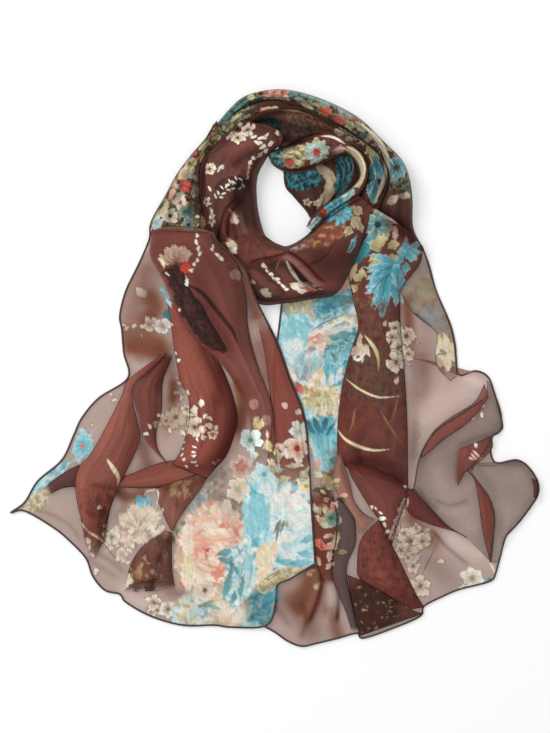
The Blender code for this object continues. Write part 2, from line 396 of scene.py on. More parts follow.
def singleLayer(cloth, tag, xy, sides, folded, reach=3, puff=0.8, look=(1, 1), creases=(), seed=1):
    edge = np.full(xy.shape[:2], 99.0)
    for side in folded:
        edge = np.minimum(edge, sides[side])
    rim = np.minimum.reduce(list(sides.values()))
    away = smooth01(rim / 14)
    z = layOn(xy, foldLie["gap"], reach)
    z = z + puff * away * (0.5 + ripples(xy, 46, 1.0, seed)) + creased(xy, creases) * smooth01(rim / 5)
    z = np.maximum(z, 0.6) - 0.5 * (1 - np.clip(edge / 1.5, 0, 1)) ** 2
    xyz = raised(xy, z)
    cloth.sheet(xyz, xy, edge, tag, look)
    addToPile(xy, z)
    return xyz


# How full a bundled stretch is across: 2 is half a circle, and higher is squarer.
ropePower = 2.3


# A bundled stretch: rows of outer x, y, inner x, y and height, with grooves along it. tuck is how
# far from its start and its end it sinks in, in mm.
def rope(cloth, tag, rows, grooves, creases, look, tuck, light, seed):
    rows = np.array(rows, float)
    middle = np.hstack([(rows[:, :2] + rows[:, 2:4]) / 2, rows])
    long = lengthOf(middle[:, :2])
    smooth = smoothLine(middle, int(long / ropeStep) + 2)[:, 2:]
    outer, inner, height = smooth[:, :2], smooth[:, 2:4], smooth[:, 4]
    width = np.linalg.norm(inner - outer, axis=1)
    way = (inner - outer) / width[:, None]
    outer, inner, width = outer - way, inner + way, width + 2
    count = int((width.max() + 1.2 * height.max()) / ropeStep) + 2
    u = (1 - np.cos(math.pi * np.linspace(0, 1, count))) / 2
    xy = outer[:, None] + (inner - outer)[:, None] * u[None, :, None]
    v = np.linspace(0, 1, len(smooth))[:, None]
    fall = smooth01((v * long + 2) / max(tuck[0], 0.1)) * smooth01(((1 - v) * long + 2) / max(tuck[1], 0.1))
    profile = (1 - np.abs(2 * u - 1) ** ropePower) ** (1 / ropePower)
    z = height[:, None] * profile[None] * fall
    relief = ripples(xy, 30, 0.7, seed) + creased(xy, creases) + pulled(u[None], v, 9, 0.9, seed + 70)
    for start, end, span, depth in grooves:
        line = start + (end - start) * v + 0.025 * np.sin(9 * v + 7 * start)
        relief = relief - depth * np.exp(-(((u[None] - line) / span) ** 2)) * smooth01(height[:, None] / 14)
    z = z + relief * profile[None]
    z = np.maximum(z, 0.3)
    under = layOn(xy, 0.8, 1)
    z = np.maximum(z, np.minimum(under, z + 9))
    steps = np.sqrt((np.diff(xy, axis=1) ** 2).sum(-1) + np.diff(z, axis=1) ** 2)
    run = np.concatenate([np.zeros((len(z), 1)), np.cumsum(steps, axis=1)], axis=1)
    run -= run[:, count // 2 : count // 2 + 1]
    planar = (u[None] - 0.5) * width[:, None]
    slide = (run - planar) * smooth01((np.abs(2 * u - 1) - 0.7) / 0.3)[None]
    printXy = xy + way[:, None] * slide[..., None]
    edge = np.minimum(u, 1 - u)[None] * width[:, None]
    xyz = raised(xy, z)
    # Painted shade: darker at the sides and in troughs, lighter on ridges; light scales it all.
    paintedEdgeShade = 0.76 + 0.24 * smooth01(edge / (0.14 * width)[:, None])
    dim = paintedEdgeShade * np.clip(1 + 0.17 * relief, 0.3, 1.4) * light
    cloth.sheet(xyz, printXy, edge, tag, look, dim=dim, step=ropeStep)
    addToPile(xy, z)
    return xyz


# The strands of the loop: outer x, y, inner x, y and height of each place along them. A groove
# is its share across at the start and at the end, its half width and its depth.
strands = {
    "backLeft": {
        "node": "back_left", "flat": (0.055, 0.11), "tone": 0.36, "light": 0.82,
        "rows": [
            (151, 236, 217, 233, 15), (151, 226, 213, 223, 19), (156, 214, 207, 211, 20),
            (166, 197, 205, 195, 22), (178, 175, 204, 177, 21), (193, 155, 206, 160, 18),
            (207, 139, 213, 149, 12), (217, 122, 226, 139, 9),
        ],
        "grooves": [(0.3, 0.45, 0.09, 2.2), (0.72, 0.6, 0.08, 1.6)],
    },
    "backOuter": {
        "node": "back_outer", "flat": (0.05, 0.29), "tone": 0.36, "light": 0.86,
        "rows": [
            (211, 134, 217, 141, 8), (230, 111, 238, 116, 15), (247, 97, 256, 104, 17),
            (275, 91, 278, 102, 19), (301, 94, 298, 107, 21), (332, 105, 325, 120, 23),
            (359, 120, 346, 132, 25), (380, 140, 367, 147, 26), (400, 160, 380, 161, 26),
            (408, 179, 388, 177, 26), (411, 200, 386, 190, 24), (412, 228, 377, 211, 18),
            (423, 250, 380, 226, 9),
        ],
        "grooves": [(0.35, 0.45, 0.1, 1.8), (0.75, 0.7, 0.08, 1.4)],
    },
    "backSecond": {
        "node": "back_second", "flat": (0.035, 0.11), "tone": 0.3, "light": 0.85,
        "rows": [
            (207, 147, 214, 152, 9), (219, 131, 229, 137, 17), (235, 116, 245, 124, 21),
            (255, 105, 262, 116, 22), (277, 102, 281, 112, 20), (300, 106, 300, 110, 12),
        ],
        "grooves": [(0.5, 0.5, 0.12, 1.4)],
    },
    "backInner": {
        "node": "back_inner", "flat": (0.05, 0.165), "tone": 0.26, "light": 0.85,
        "rows": [
            (245, 122, 256, 136, 8), (258, 114, 266, 134, 14), (281, 110, 277, 140, 17),
            (298, 108, 282, 152, 18), (323, 120, 304, 143, 19), (344, 132, 324, 137, 20),
            (365, 146, 350, 150, 21), (380, 160, 363, 162, 22), (387, 176, 366, 179, 21),
            (385, 190, 360, 194, 19), (378, 208, 355, 199, 14), (376, 219, 358, 212, 8),
        ],
        "grooves": [(0.45, 0.4, 0.12, 2.6), (0.8, 0.75, 0.07, 1.5)],
    },
    "innerCurl": {
        "node": "inner_curl", "flat": (0.05, 0.145), "tone": 0.4,
        "rows": [
            (266, 152, 271, 163, 10), (286, 149, 286, 171, 16), (304, 141, 304, 171, 20),
            (324, 135, 321, 163, 23), (339, 139, 335, 157, 25), (351, 148, 346, 154, 25),
            (364, 161, 357, 164, 25), (367, 179, 360, 178, 24), (357, 197, 351, 190, 22),
            (342, 207, 337, 199, 20), (326, 219, 319, 211, 17), (312, 232, 307, 227, 12),
        ],
        "grooves": [(0.6, 0.5, 0.1, 1.6)],
    },
    "innerWall": {
        "node": "inner_wall", "flat": (0.06, 0.06), "tone": 0.2,
        "rows": [
            (352, 148, 284, 168, 9), (360, 167, 286, 186, 11), (362, 178, 293, 195, 12),
            (354, 190, 300, 203, 12), (338, 200, 307, 211, 11), (321, 212, 311, 218, 8),
        ],
        "grooves": [(0.25, 0.3, 0.05, 2.5), (0.5, 0.55, 0.06, 3), (0.75, 0.7, 0.05, 2)],
    },
    "cowlLeft": {
        "node": "cowl_left", "flat": (0.09, 0.13), "tone": (0.34, 0.36, 0.48),
        "rows": [
            (243, 122, 268, 127, 15), (228, 134, 281, 134, 22), (213, 149, 281, 144, 27),
            (204, 160, 268, 156, 29), (201, 178, 257, 176, 30), (202, 200, 256, 199, 29),
            (207, 222, 259, 219, 27), (215, 243, 265, 237, 24), (226, 262, 275, 246, 18),
        ],
        "grooves": [(0.12, 0.1, 0.05, 2.4)],
        "creases": [
            ([214, 150, 208, 172, 207, 200, 213, 232], 2.4, 1.8), ([222, 160, 240, 150, 262, 142], 5, 1.8),
            ([228, 172, 246, 160, 262, 150], 3.5, -2.2), ([220, 206, 226, 188, 240, 176, 254, 164], 4, 2.2),
            ([232, 208, 240, 190, 254, 178], 4, -3.2), ([246, 180, 243, 206, 250, 236], 6, -3.6),
            ([226, 210, 224, 228, 232, 252], 3, 2), ([219, 196, 217, 220, 224, 246], 2.6, -2.4),
        ],
    },
    "cowlFront": {
        "node": "cowl_front", "flat": (0.085, 0.17), "tone": (0.36, 0.34, 0.44),
        "rows": [
            (258, 230, 210, 243, 20), (265, 237, 220, 250, 23), (270, 241, 240, 269, 24),
            (278, 245, 257, 301, 24), (287, 247, 284, 302, 27), (300, 241, 310, 298, 30),
            (313, 231, 336, 292, 30), (326, 219, 352, 264, 28), (342, 207, 363, 238, 25),
            (358, 197, 371, 208, 17),
        ],
        "grooves": [],
        "creases": [
            ([247, 268, 262, 259, 284, 256, 300, 265, 318, 282, 332, 288, 346, 284, 357, 268], 4.5, 3.2),
            ([306, 254, 322, 266, 340, 264, 352, 250], 13, -2.2),
            ([258, 270, 272, 266, 288, 268, 304, 284, 318, 296], 4, -3.5),
            ([249, 240, 248, 252, 244, 266], 1.6, 1.6), ([262, 292, 284, 292, 306, 296], 5, 1.6),
            ([290, 240, 304, 240, 320, 228], 3.5, -2),
        ],
    },
}

cloths, hemLines = {}, {}


def layStrand(name, tuck=(0, 0), seed=1):
    given = strands[name]
    cloths[name] = Cloth(name, [given["node"]])
    hemLines[name] = rope(cloths[name], name, given["rows"], given["grooves"], given.get("creases", ()),
                          (1.7, given["tone"]), tuck, given.get("light", 1), seed)


lowerStrands = ("innerWall", "backOuter", "backSecond", "backInner", "backLeft", "innerCurl")
for seed, name in enumerate(lowerStrands, 2):
    layStrand(name, seed=seed)
print("lower strands laid")

# The right end: its outline, its folds in the order they lie, and its soft creases. A fold has
# its left and right side, how far it puffs up, and how light its ground is.
rightEnd = {
    "flat": (0.5, 0.19), "pleatsFlat": (0.5, 0.18), "tone": (0.93, 1.33, 1.32),
    "top": [283, 290, 300, 289, 320, 286, 338, 278, 352, 256, 360, 234, 366, 214, 372, 209, 383, 215,
        395, 223, 410, 236, 421, 246],
    "bottom": [264, 626, 275, 632, 288, 641, 302, 646, 317, 643, 338, 638, 357, 633, 363, 638, 393, 628,
        420, 616, 424, 606, 443, 596, 460, 589, 490, 581, 496, 572],
    "left": [283, 290, 280, 320, 277, 342, 274, 361, 274, 396, 273, 415, 268, 460, 262, 510, 255, 560,
        250, 595, 253, 612, 264, 626],
    "right": [421, 246, 429, 266, 436, 291, 450, 324, 455, 345, 456, 357, 459, 375, 475, 371, 487, 376,
        493, 389, 502, 423, 500, 431, 492, 437, 491, 454, 497, 463, 517, 460, 530, 469, 538, 484, 536, 498,
        517, 524, 506, 536, 500, 557, 496, 572],
    "creases": [
        ([322, 576, 318, 600, 310, 624], 3.2, 3), ([334, 575, 338, 595, 336, 620], 2.6, 2.4),
        ([408, 433, 420, 428, 436, 418], 3, 1.6), ([430, 527, 446, 546, 469, 566], 1.6, 1.8),
        ([412, 350, 414, 400, 410, 470], 6, 2.2), ([440, 400, 446, 380, 444, 362], 4, 2),
        ([280, 600, 292, 620, 298, 640], 5, 2), ([440, 560, 452, 578, 456, 588], 3, 1.4),
    ],
    "folds": [
        ("frontFold",
            [366, 214, 354, 240, 348, 266, 352, 296, 358, 325, 352, 347, 344, 376, 340, 399, 337, 433,
             339, 458, 350, 470],
            [396, 224, 414, 238, 421, 249, 420, 263, 410, 277, 400, 290, 400, 307, 401, 338, 404, 368,
             407, 419, 408, 487], 3.5, (0.5, 0.38, 0.42), ("top", 12)),
        ("redFloral",
            [309, 490, 311, 515, 313, 540, 316, 560, 325, 585],
            [332, 488, 337, 516, 336, 541, 333, 560, 333, 585],
            1.2, (0.58, 0.48, 0.5), ("top", 14), ("bottom", 10)),
        ("greyStrip",
            [332, 498, 338, 516, 336, 541, 333, 557, 333, 580, 345, 610, 352, 632],
            [338, 493, 353, 514, 356, 541, 348, 562, 347, 576, 350, 592, 358, 632],
            2, (0.4, 0.76, 1.15), ("top", 12), ("bottom", 8)),
        ("pinkStrip",
            [332, 475, 337, 493, 353, 516, 361, 538],
            [339, 448, 350, 483, 354, 500, 365, 514, 378, 520],
            1.6, (1.2, 1.8, 2.3), ("top", 14), ("bottom", 8)),
        ("lowerFold",
            [345, 462, 353, 480, 368, 505, 380, 522, 390, 546],
            [372, 466, 408, 487, 402, 510, 396, 530, 391, 547], 3, (0.58, 0.44, 0.54)),
        ("triangle",
            [378, 519, 361, 538, 357, 560, 360, 579, 385, 594, 411, 609],
            [379, 520, 392, 545, 402, 565, 414, 590, 424, 607], 3, (0.58, 0.38, 0.4)),
        ("darkTurn",
            [347, 574, 350, 592, 354, 612, 359, 636],
            [360, 579, 386, 594, 411, 609, 424, 613], 1.5, (0.4, 0.3, 0.26)),
        ("redBand",
            [406, 489, 408, 512, 427, 523, 450, 530, 463, 535],
            [414, 488, 426, 503, 436, 514, 448, 526, 464, 536], 1.2, (0.45, 0.28, 0.36), ("bottom", 8)),
    ],
    "lateFolds": [
        ("crescent",
            [484, 384, 474, 402, 452, 416, 434, 430, 424, 446, 420, 456],
            [488, 397, 477, 413, 462, 427, 444, 439, 431, 450, 421, 458], 1.2, (0.92, 0.76, 0.92, 0.9)),
        ("wedge",
            [455, 450, 453, 462, 452, 475, 454, 488],
            [491, 436, 492, 448, 480, 461, 466, 471, 456, 489],
            2, (0.8, 0.68, 0.78, 0.95), ("left", 7), ("bottom", 6)),
        ("lobeFold",
            [466, 470, 474, 480, 478, 500, 481, 525, 486, 548, 490, 562],
            [468, 470, 479, 483, 489, 497, 494, 512, 494, 530, 491, 562], 1.5, (0.8, 0.76, 0.9)),
        ("tipTurn", [531, 478, 533, 487, 533, 497], [538, 481, 538, 488, 536, 498], 0.8, (0.4, 0.4, 0.5)),
    ],
    "hems": [("sBand", 0, 0.1, 1), ("sBand", 1, 0, 0.5), ("lobe", 1, 0.2, 0.9), ("lobe", 0, 0.05, 0.95)],
    "outerTurn": (
        [400, 292, 413, 313, 436, 333, 435, 353, 438, 368, 450, 381],
        [423, 250, 433, 283, 446, 316, 453, 338, 455, 356, 457, 376],
    ),
    "sBand": (
        [487, 380, 485, 396, 466, 410, 436, 430, 423, 448, 418, 463, 415, 480, 414, 490, 426, 503, 436, 514,
            448, 526, 466, 537],
        [493, 389, 501, 414, 500, 431, 491, 437, 485, 450, 472, 468, 480, 485, 492, 508, 493, 530, 489, 560],
    ),
    "lobe": (
        [467, 470, 477, 482, 487, 495, 493, 510, 494, 525, 491, 545, 489, 562],
        [474, 463, 500, 462, 520, 461, 531, 470, 538, 484, 536, 498, 520, 521, 506, 536, 499, 562],
    ),
}


def layFolds(cloth, folds):
    for tag, left, right, puff, tone, *opened in folds:
        look = (tone[3], tone[:3]) if len(tone) > 3 else (1.2, tone)
        foldedOver(cloth, tag, left, right, puff, look, dict(opened), len(tag) + left[0])


def layEnd(name, nodes, given, baseTag, seed):
    cloth = Cloth(name, nodes)
    xy, sides = patch(given["top"], given["bottom"], given["left"], given["right"])
    xyz = singleLayer(cloth, baseTag, xy, sides, ["top"], reach=5, puff=1.6, look=(1, given["tone"]),
                      creases=given["creases"], seed=seed)
    hemLines[name] = np.vstack([xyz[:, 0], xyz[-1, 1:], xyz[-2::-1, -1]])
    cloths[name] = cloth


layEnd("rightEnd", ["right_end"], rightEnd, "rightBase", 11)
cloth = cloths["rightPleats"] = Cloth("rightPleats", ["under_end"])
laidOver(cloth, "outerTurn", *rightEnd["outerTurn"], seed=12, look=(0.6, (0.9, 1.6, 1.9)))
layFolds(cloth, rightEnd["folds"])
laidOver(cloth, "sBand", *rightEnd["sBand"], seed=13, puff=2.0, look=(0.72, (0.52, 1.05, 1.4)),
         creases=[([437, 503, 448, 504, 462, 501], 1.8, -1.6)])
laidOver(cloth, "lobe", *rightEnd["lobe"], seed=14, puff=2.4, look=(0.62, (0.75, 1.7, 2.5)),
         creases=[([480, 470, 505, 480, 525, 500], 4, 1.6)])
layFolds(cloth, rightEnd["lateFolds"])
turnedPile = widened(pileHeights, 1)
print("right end laid")

layStrand("cowlLeft", tuck=(0, 16), seed=8)
layStrand("cowlFront", tuck=(14, 0), seed=9)
print("front fold laid")

# The left end, which lies over the front fold.
leftEnd = {
    "flat": (0.5, 0.17), "pleatsFlat": (0.5, 0.16), "tone": (0.93, 1.33, 1.32),
    "top": [151, 232, 158, 229, 168, 227, 180, 227, 192, 228, 204, 230, 214, 234],
    "bottom": [10, 513, 25, 511, 53, 527, 69, 540, 86, 558, 93, 576, 105, 590, 120, 594, 126, 602, 151, 616,
        183, 625, 214, 625, 231, 627, 264, 626, 274, 612, 277, 586, 291, 578, 315, 563],
    "left": [151, 233, 149, 242, 138, 266, 126, 291, 120, 315, 122, 330, 124, 353, 128, 378, 99, 398, 82, 418,
        74, 435, 62, 460, 38, 481, 25, 502, 10, 513],
    "right": [214, 234, 219, 244, 231, 255, 245, 270, 251, 287, 258, 304, 277, 342, 290, 378, 304, 415,
        309, 460, 311, 500, 315, 563],
    "creases": [
        ([150, 240, 142, 270, 134, 300], 6, 2.6), ([140, 340, 132, 356, 130, 372], 5, -2),
        ([70, 470, 60, 500, 72, 530], 7, 2.6), ([96, 570, 112, 580, 128, 590], 4, 1.8),
        ([196, 340, 210, 370, 222, 400], 4, 1.6), ([150, 470, 140, 500, 142, 530], 5, 1.4),
        ([232, 500, 226, 540, 224, 590], 6, 2), ([280, 480, 286, 520, 282, 556], 6, 2.4),
        ([256, 430, 262, 470, 258, 500], 5, 1.6), ([160, 596, 190, 604, 220, 600], 5, 1.6),
        ([226, 620, 244, 600, 280, 578], 2.6, 2.4),
    ],
    "folds": [
        ("sidePleat",
            [256, 316, 264, 350, 268, 378, 271, 405, 274, 440, 280, 474],
            [262, 314, 276, 342, 289, 378, 303, 415, 308, 450, 310, 478],
            0.8, (0.98, 0.74, 0.86, 0.88), ("top", 26), ("bottom", 30)),
        ("tipPleat",
            [80, 464, 68, 470, 56, 478, 44, 488],
            [79, 487, 68, 487, 58, 490, 48, 496], 0.8, (0.36, 0.36, 0.58), ("bottom", 9)),
        ("underPleat", [78, 488, 80, 505, 85, 534], [118, 488, 110, 512, 105, 542], 1, (0.42, 0.36, 0.44)),
        ("crossBand",
            [90, 487, 118, 487, 140, 488, 163, 487, 190, 479, 213, 469, 222, 461],
            [92, 482, 124, 476, 145, 468, 166, 461, 185, 460, 205, 460, 221, 457],
            2, (0.95, 0.85, 0.92), ("top", 16)),
        ("tongue",
            [156, 488, 158, 500, 165, 518, 171, 530],
            [213, 469, 200, 490, 182, 514, 173, 531], 1.6, (0.78, 0.88, 1)),
        ("cuff",
            [165, 530, 145, 544, 135, 556, 129, 570, 123, 592],
            [173, 532, 172, 554, 173, 574, 176, 590], 2, (0.56, 0.68, 0.82), ("bottom", 9)),
        ("innerBand",
            [166, 352, 150, 370, 132, 390, 137, 415, 142, 436, 158, 456, 166, 462],
            [174, 352, 168, 368, 163, 383, 162, 410, 157, 430, 158, 448, 168, 463],
            2.4, (0.62, 0.52, 0.62), ("top", 10), ("left", 3)),
        ("longBand",
            [164, 350, 158, 357, 128, 380, 122, 395, 107, 425, 90, 455, 82, 463, 77, 474, 76, 488, 78, 504,
             81, 517, 84, 532, 86, 543, 93, 556],
            [171, 350, 152, 370, 133, 390, 138, 421, 141, 437, 134, 456, 125, 475, 118, 488, 107, 520,
             104, 540, 96, 557], 3.2, (0.92, 0.87, 1.03), ("top", 8), ("bottom", 24)),
        ("bulge",
            [166, 296, 170, 318, 173, 340, 175, 352, 178, 370, 182, 386, 188, 395, 189, 420, 181, 450,
             172, 464],
            [176, 300, 196, 326, 212, 348, 226, 376, 235, 402, 237, 424, 228, 453, 216, 468, 207, 478],
            4.5, (0.88, 0.71, 0.82), ("top", 14)),
        ("shoulder",
            [152, 231, 149, 244, 150, 258, 160, 276, 168, 294, 176, 312, 188, 332, 206, 350, 222, 366,
             236, 387, 244, 398, 248, 420, 250, 462],
            [210, 234, 217, 245, 230, 256, 240, 270, 247, 301, 248, 323, 252, 345, 261, 374, 270, 397,
             274, 420, 277, 466], 3, (0.56, 0.46, 0.55), ("bottom", 60), ("left", 3)),
    ],
}
layEnd("leftEnd", ["left_end"], leftEnd, "leftBase", 21)
cloth = cloths["leftPleats"] = Cloth("leftPleats", ["left_end"])
layFolds(cloth, leftEnd["folds"])
print("left end laid")

# The printed cloth: its ground colour, how solid one layer and the print are, how much the cloudy
# and the fine grain change its light and how much painted shade the folds give it, and the scales
# of grain, cloud and crepe.
chiffon = {
    "ground": (0.31, 0.095, 0.055), "alpha": 0.58, "printAlpha": 0.93, "foldAlpha": 0.42, "unevenAlpha": 0.16,
    "light": 0.61, "cloudyLight": 0.2, "grainLight": 0.48, "foldDark": 0.66, "nearFoldShade": 0.1,
    "cloudScale": 38.0, "grainScale": 620.0, "crepeScale": 1500.0, "roughness": 0.62, "sheen": 0.06,
}


# The inks of the print, as red, green and blue from 0 to 255.
inks = {
    "white": (238, 233, 223), "cream": (232, 218, 196), "butter": (222, 209, 160), "blush": (218, 184, 170),
    "peach": (230, 188, 162), "coral": (210, 118, 100), "red": (190, 62, 52), "rust": (136, 66, 50),
    "ochre": (182, 146, 92), "olive": (148, 142, 92), "moss": (92, 88, 56), "sage": (156, 168, 144),
    "pale": (202, 222, 222), "sky": (138, 199, 208), "blue": (76, 162, 177), "deep": (34, 110, 132),
    "teal": (54, 122, 124), "inkBlue": (22, 52, 64), "smoke": (130, 142, 148), "beige": (192, 168, 140),
    "brown": (86, 50, 43), "earth": (112, 62, 50), "dark": (42, 23, 20), "plum": (84, 54, 56),
    "slate": (104, 84, 80), "aqua": (114, 168, 164), "lagoon": (54, 120, 124), "sand": (172, 158, 130),
    "wine": (66, 34, 32), "night": (14, 18, 22),
}


def inkOf(name):
    share = np.array(inks[name]) / 255
    return np.where(share < 0.04045, share / 12.92, ((share + 0.055) / 1.055) ** 2.4)


# Which places lie inside a closed line.
def insideOf(places, line):
    inside = np.zeros(len(places), bool)
    x, y = places[:, 0], places[:, 1]
    for a, b in zip(line, np.roll(line, -1, axis=0)):
        if a[1] != b[1]:
            crosses = (a[1] > y) != (b[1] > y)
            inside ^= crosses & (x < a[0] + (y - a[1]) * (b[0] - a[0]) / (b[1] - a[1]))
    return inside


# The inks of a petal's base, tip and rim, from one to three names; with two it has no rim.
def threeInks(tones):
    base, tip, rim = (tones.split() + [None, None])[:3]
    return base, tip or base, rim


def closedLine(outline):
    places = pairs(outline)
    return smoothLine(np.vstack([places, places[:1]]), 8 * len(places))


# Paints the print on the points of all the cloth, by their places on the board.
class Painter:
    def __init__(self, cloths, cell=8.0):
        plain = np.vstack([c.gather("print") for c in cloths])
        self.plain = plain
        aside = ripples(plain, 10, 1.2, 31) + ripples(plain, 4, 0.7, 33)
        down = ripples(plain, 10, 1.2, 32) + ripples(plain, 4, 0.7, 34)
        self.places = plain + np.stack([aside, down], axis=1)
        self.tags = np.concatenate([c.gather("tag") for c in cloths]).astype(str)
        self.layers = np.concatenate([c.gather("layers") for c in cloths])
        self.ground = np.array(chiffon["ground"]) * np.concatenate([c.gather("tone") for c in cloths])
        self.ink = self.ground.copy()
        self.cover = np.zeros(len(self.places))
        self.cell = cell
        self.names, self.group = np.unique(self.tags, return_inverse=True)
        keys = np.floor(self.places / cell).astype(int) + 50
        order = np.lexsort((keys[:, 1], keys[:, 0]))
        flat = keys[order, 0] * 1000 + keys[order, 1]
        starts = np.flatnonzero(np.concatenate([[True], np.diff(flat) > 0]))
        ends = np.append(starts[1:], len(flat))
        self.bins = {flat[s]: order[s:e] for s, e in zip(starts, ends)}
        self.draw = np.random.default_rng(5)
        self.on()

    # Keeps what is painted next to these sheets; with no names, to all but the hidden layers.
    def on(self, names=""):
        wanted = set(names.split()) or set(self.names) - {"under"}
        self.allowed = np.isin(self.names, list(wanted))[self.group]

    def nearLine(self, line, wide):
        return self.near(*(line.min(0) + line.max(0)) / 2, np.ptp(line, axis=0).max() / 2 + wide)

    def near(self, x, y, reach):
        middle = np.array([x, y])
        low, high = (np.floor((middle + side) / self.cell).astype(int) + 50 for side in (-reach, reach))
        found = [
            self.bins[ix * 1000 + iy]
            for ix in range(low[0], high[0] + 1)
            for iy in range(low[1], high[1] + 1)
            if ix * 1000 + iy in self.bins
        ]
        if not found:
            return np.zeros(0, int)
        index = np.concatenate(found)
        return index[self.allowed[index]]

    def lay(self, index, amount, colour, strength=1.0):
        share = (amount * strength)[:, None]
        self.ink[index] = self.ink[index] * (1 - share) + colour * share
        self.cover[index] = np.maximum(self.cover[index] * (1 - share[:, 0]), 0) + share[:, 0]

    # Paints shade softly along a line and makes the cloth look thicker there, as bunched cloth
    # does; below 0 it paints a highlight and the cloth looks thinner.
    def shade(self, places, wide, amount, tint=(1, 1, 1), thick=0.5):
        places = pairs(places)
        line = smoothLine(places, 5 * len(places))
        index = self.nearLine(line, 2.4 * wide)
        away, along = nearLine(self.plain[index], line)
        taper = smooth01(np.minimum(along, 1 - along) * 5 + 0.15 + 2 * wide / lengthOf(line))
        soft = amount * taper * np.exp(-((away / wide) ** 2))
        self.ink[index] *= (1 - soft[:, None] * np.array(tint)).clip(0.02, 2.5)
        self.layers[index] *= 1 + thick * soft

    # Fills an outline with patches of several tones that run into each other.
    def wash(self, outline, tones, seed, size=7, soft=3, strength=0.9):
        tones, line = tones.split(), closedLine(outline)
        index = self.nearLine(line, soft)
        places = self.places[index]
        away = nearLine(places, line)[0]
        amount = smooth01(np.where(insideOf(places, line), away, -away) / soft + 0.5)
        share = np.exp(6 * np.stack([ripples(places, size, 1.0, seed + k) for k in range(len(tones))]))
        colour = (share / share.sum(0)).T @ np.array([inkOf(tone) for tone in tones])
        self.lay(index, amount, colour, strength)

    # Strews petals inside an outline.
    def strew(self, outline, count, sizes, tones, seed, strength=0.9, turns=(0, 360)):
        line, draw = closedLine(outline), np.random.default_rng(seed)
        places = draw.uniform(line.min(0), line.max(0), (count * 4, 2))
        for x, y in places[insideOf(places, line)][:count]:
            size, turn = draw.uniform(*sizes), draw.uniform(*turns)
            tone = tones[draw.integers(len(tones))]
            wide = size * draw.uniform(0.35, 0.55)
            self.petal(x, y, turn, size, wide, tone, draw.uniform(0.9, 1.6), 0.25, strength)

    # One petal from its base at x, y. Its inks are those of the base, the tip and the rim.
    def petal(self, x, y, turn, long, wide, tones, point=1.4, veins=0.12, strength=1.0, rimWide=1.0,
              sharp=0.8, ragged=0.5):
        base, tip, rim = threeInks(tones)
        c, s = cosSin(turn)
        index = self.near(x + long / 2 * c, y + long / 2 * s, long / 2 + wide)
        if not len(index):
            return
        rest = self.places[index] - (x, y)
        b = rest[:, 1] * c - rest[:, 0] * s
        a = (rest[:, 0] * c + rest[:, 1] * s) / long
        a = a + ragged * (np.sin(b * 1.5 + x) + 0.7 * np.sin(b * 2.9 + y)) / long * smooth01(a * 2)
        half = np.sin(math.pi * np.clip(a, 0, 1) ** point) ** sharp * wide / 2
        inside = np.minimum(half - np.abs(b), np.minimum(a, 1 - a) * long + 0.4)
        amount = smooth01(inside / 0.9 + 0.5)
        share = smooth01(np.clip(a, 0, 1))[:, None]
        colour = inkOf(base) * (1 - share) + inkOf(tip) * share
        streak = 1 - 0.6 * veins * (0.5 + 0.5 * np.cos(b * 7 / max(wide, 2) * math.pi)) * smooth01(a * 2)
        colour = colour * streak[:, None] * (0.8 + 0.2 * smooth01(a * 3))[:, None]
        if rim:
            edge = 0.62 * (smooth01(1.3 - inside / rimWide) * smooth01(np.clip(a, 0, 1) * 2.2))[:, None]
            colour = colour * (1 - edge) + inkOf(rim) * edge
        self.lay(index, amount, colour, strength)

    # Several petals of one kind: x, y, turn, length and width of each.
    def petals(self, places, tones, point=1.3, veins=0.25, strength=0.9, ragged=0.8, sharp=0.8):
        for place in places:
            self.petal(*place, tones, point, veins, strength, sharp=sharp, ragged=ragged)

    # Small petals with a thin dark outline: the middle, turn, length and width of each.
    def dabs(self, places, tone="cream", line="wine"):
        for x, y, turn, long, wide in places:
            c, s = cosSin(turn)
            for more, ink, share in ((0.6, line, 0.8), (0, tone, 0.92)):
                half = long / 2 + more
                self.petal(x - half * c, y - half * s, turn, 2 * half, wide + 2 * more, ink, 1.1, 0.08, share,
                           sharp=0.6, ragged=0.2)

    def disc(self, x, y, across, down, colour, turn=0, soft=0.9, strength=1.0, uneven=0.0):
        index = self.near(x, y, max(across, down) / 2 + soft)
        if not len(index):
            return
        rest = (self.places if uneven or across > 10 else self.plain)[index] - (x, y)
        c, s = cosSin(turn)
        a, b = rest[:, 0] * c + rest[:, 1] * s, rest[:, 1] * c - rest[:, 0] * s
        far = np.sqrt((2 * a / across) ** 2 + (2 * b / down) ** 2)
        if uneven:
            way = np.arctan2(b, a)
            far = far * (1 + uneven * np.sin(way * 5 + x) + uneven * 0.6 * np.sin(way * 9 + y))
        amount = smooth01((1 - far) * min(across, down) / 2 / soft + 0.5)
        self.lay(index, amount, inkOf(colour)[None], strength)

    # A brush stroke through the places, from its first ink to its second.
    def stroke(self, places, wide, tones, strength=1.0, blunt=False, soft=0.8):
        places = pairs(places)
        line = smoothLine(places, 6 * len(places))
        index = self.nearLine(line, wide)
        if not len(index):
            return
        away, along = nearLine((self.places if wide > 6 else self.plain)[index], line)
        swell = np.sin(math.pi * along**0.8)
        if blunt:
            swell = np.minimum(1, 4 * np.minimum(along + 0.05, 1.05 - along))
        amount = smooth01((swell * wide / 2 - away) / soft + 0.5)
        share = along[:, None]
        start, end, _ = threeInks(tones)
        colour = inkOf(start) * (1 - share) + inkOf(end) * share
        self.lay(index, amount, colour, strength)

    # A flower whose inks are those of its petals and, last, its heart.
    def flower(self, x, y, size, tones, petals=5, turn=0, wide=0.85, point=1.5, heart=0.3, rimWide=0.9):
        tones, middle = tones.rsplit(" ", 1)
        for k in range(petals):
            angle = turn + k * 360 / petals + self.draw.uniform(-7, 7)
            long = size * self.draw.uniform(0.88, 1.1)
            self.petal(x, y, angle, long, size * wide, tones, point, rimWide=rimWide)
        self.disc(x, y, size * heart * 2, size * heart * 2, middle)

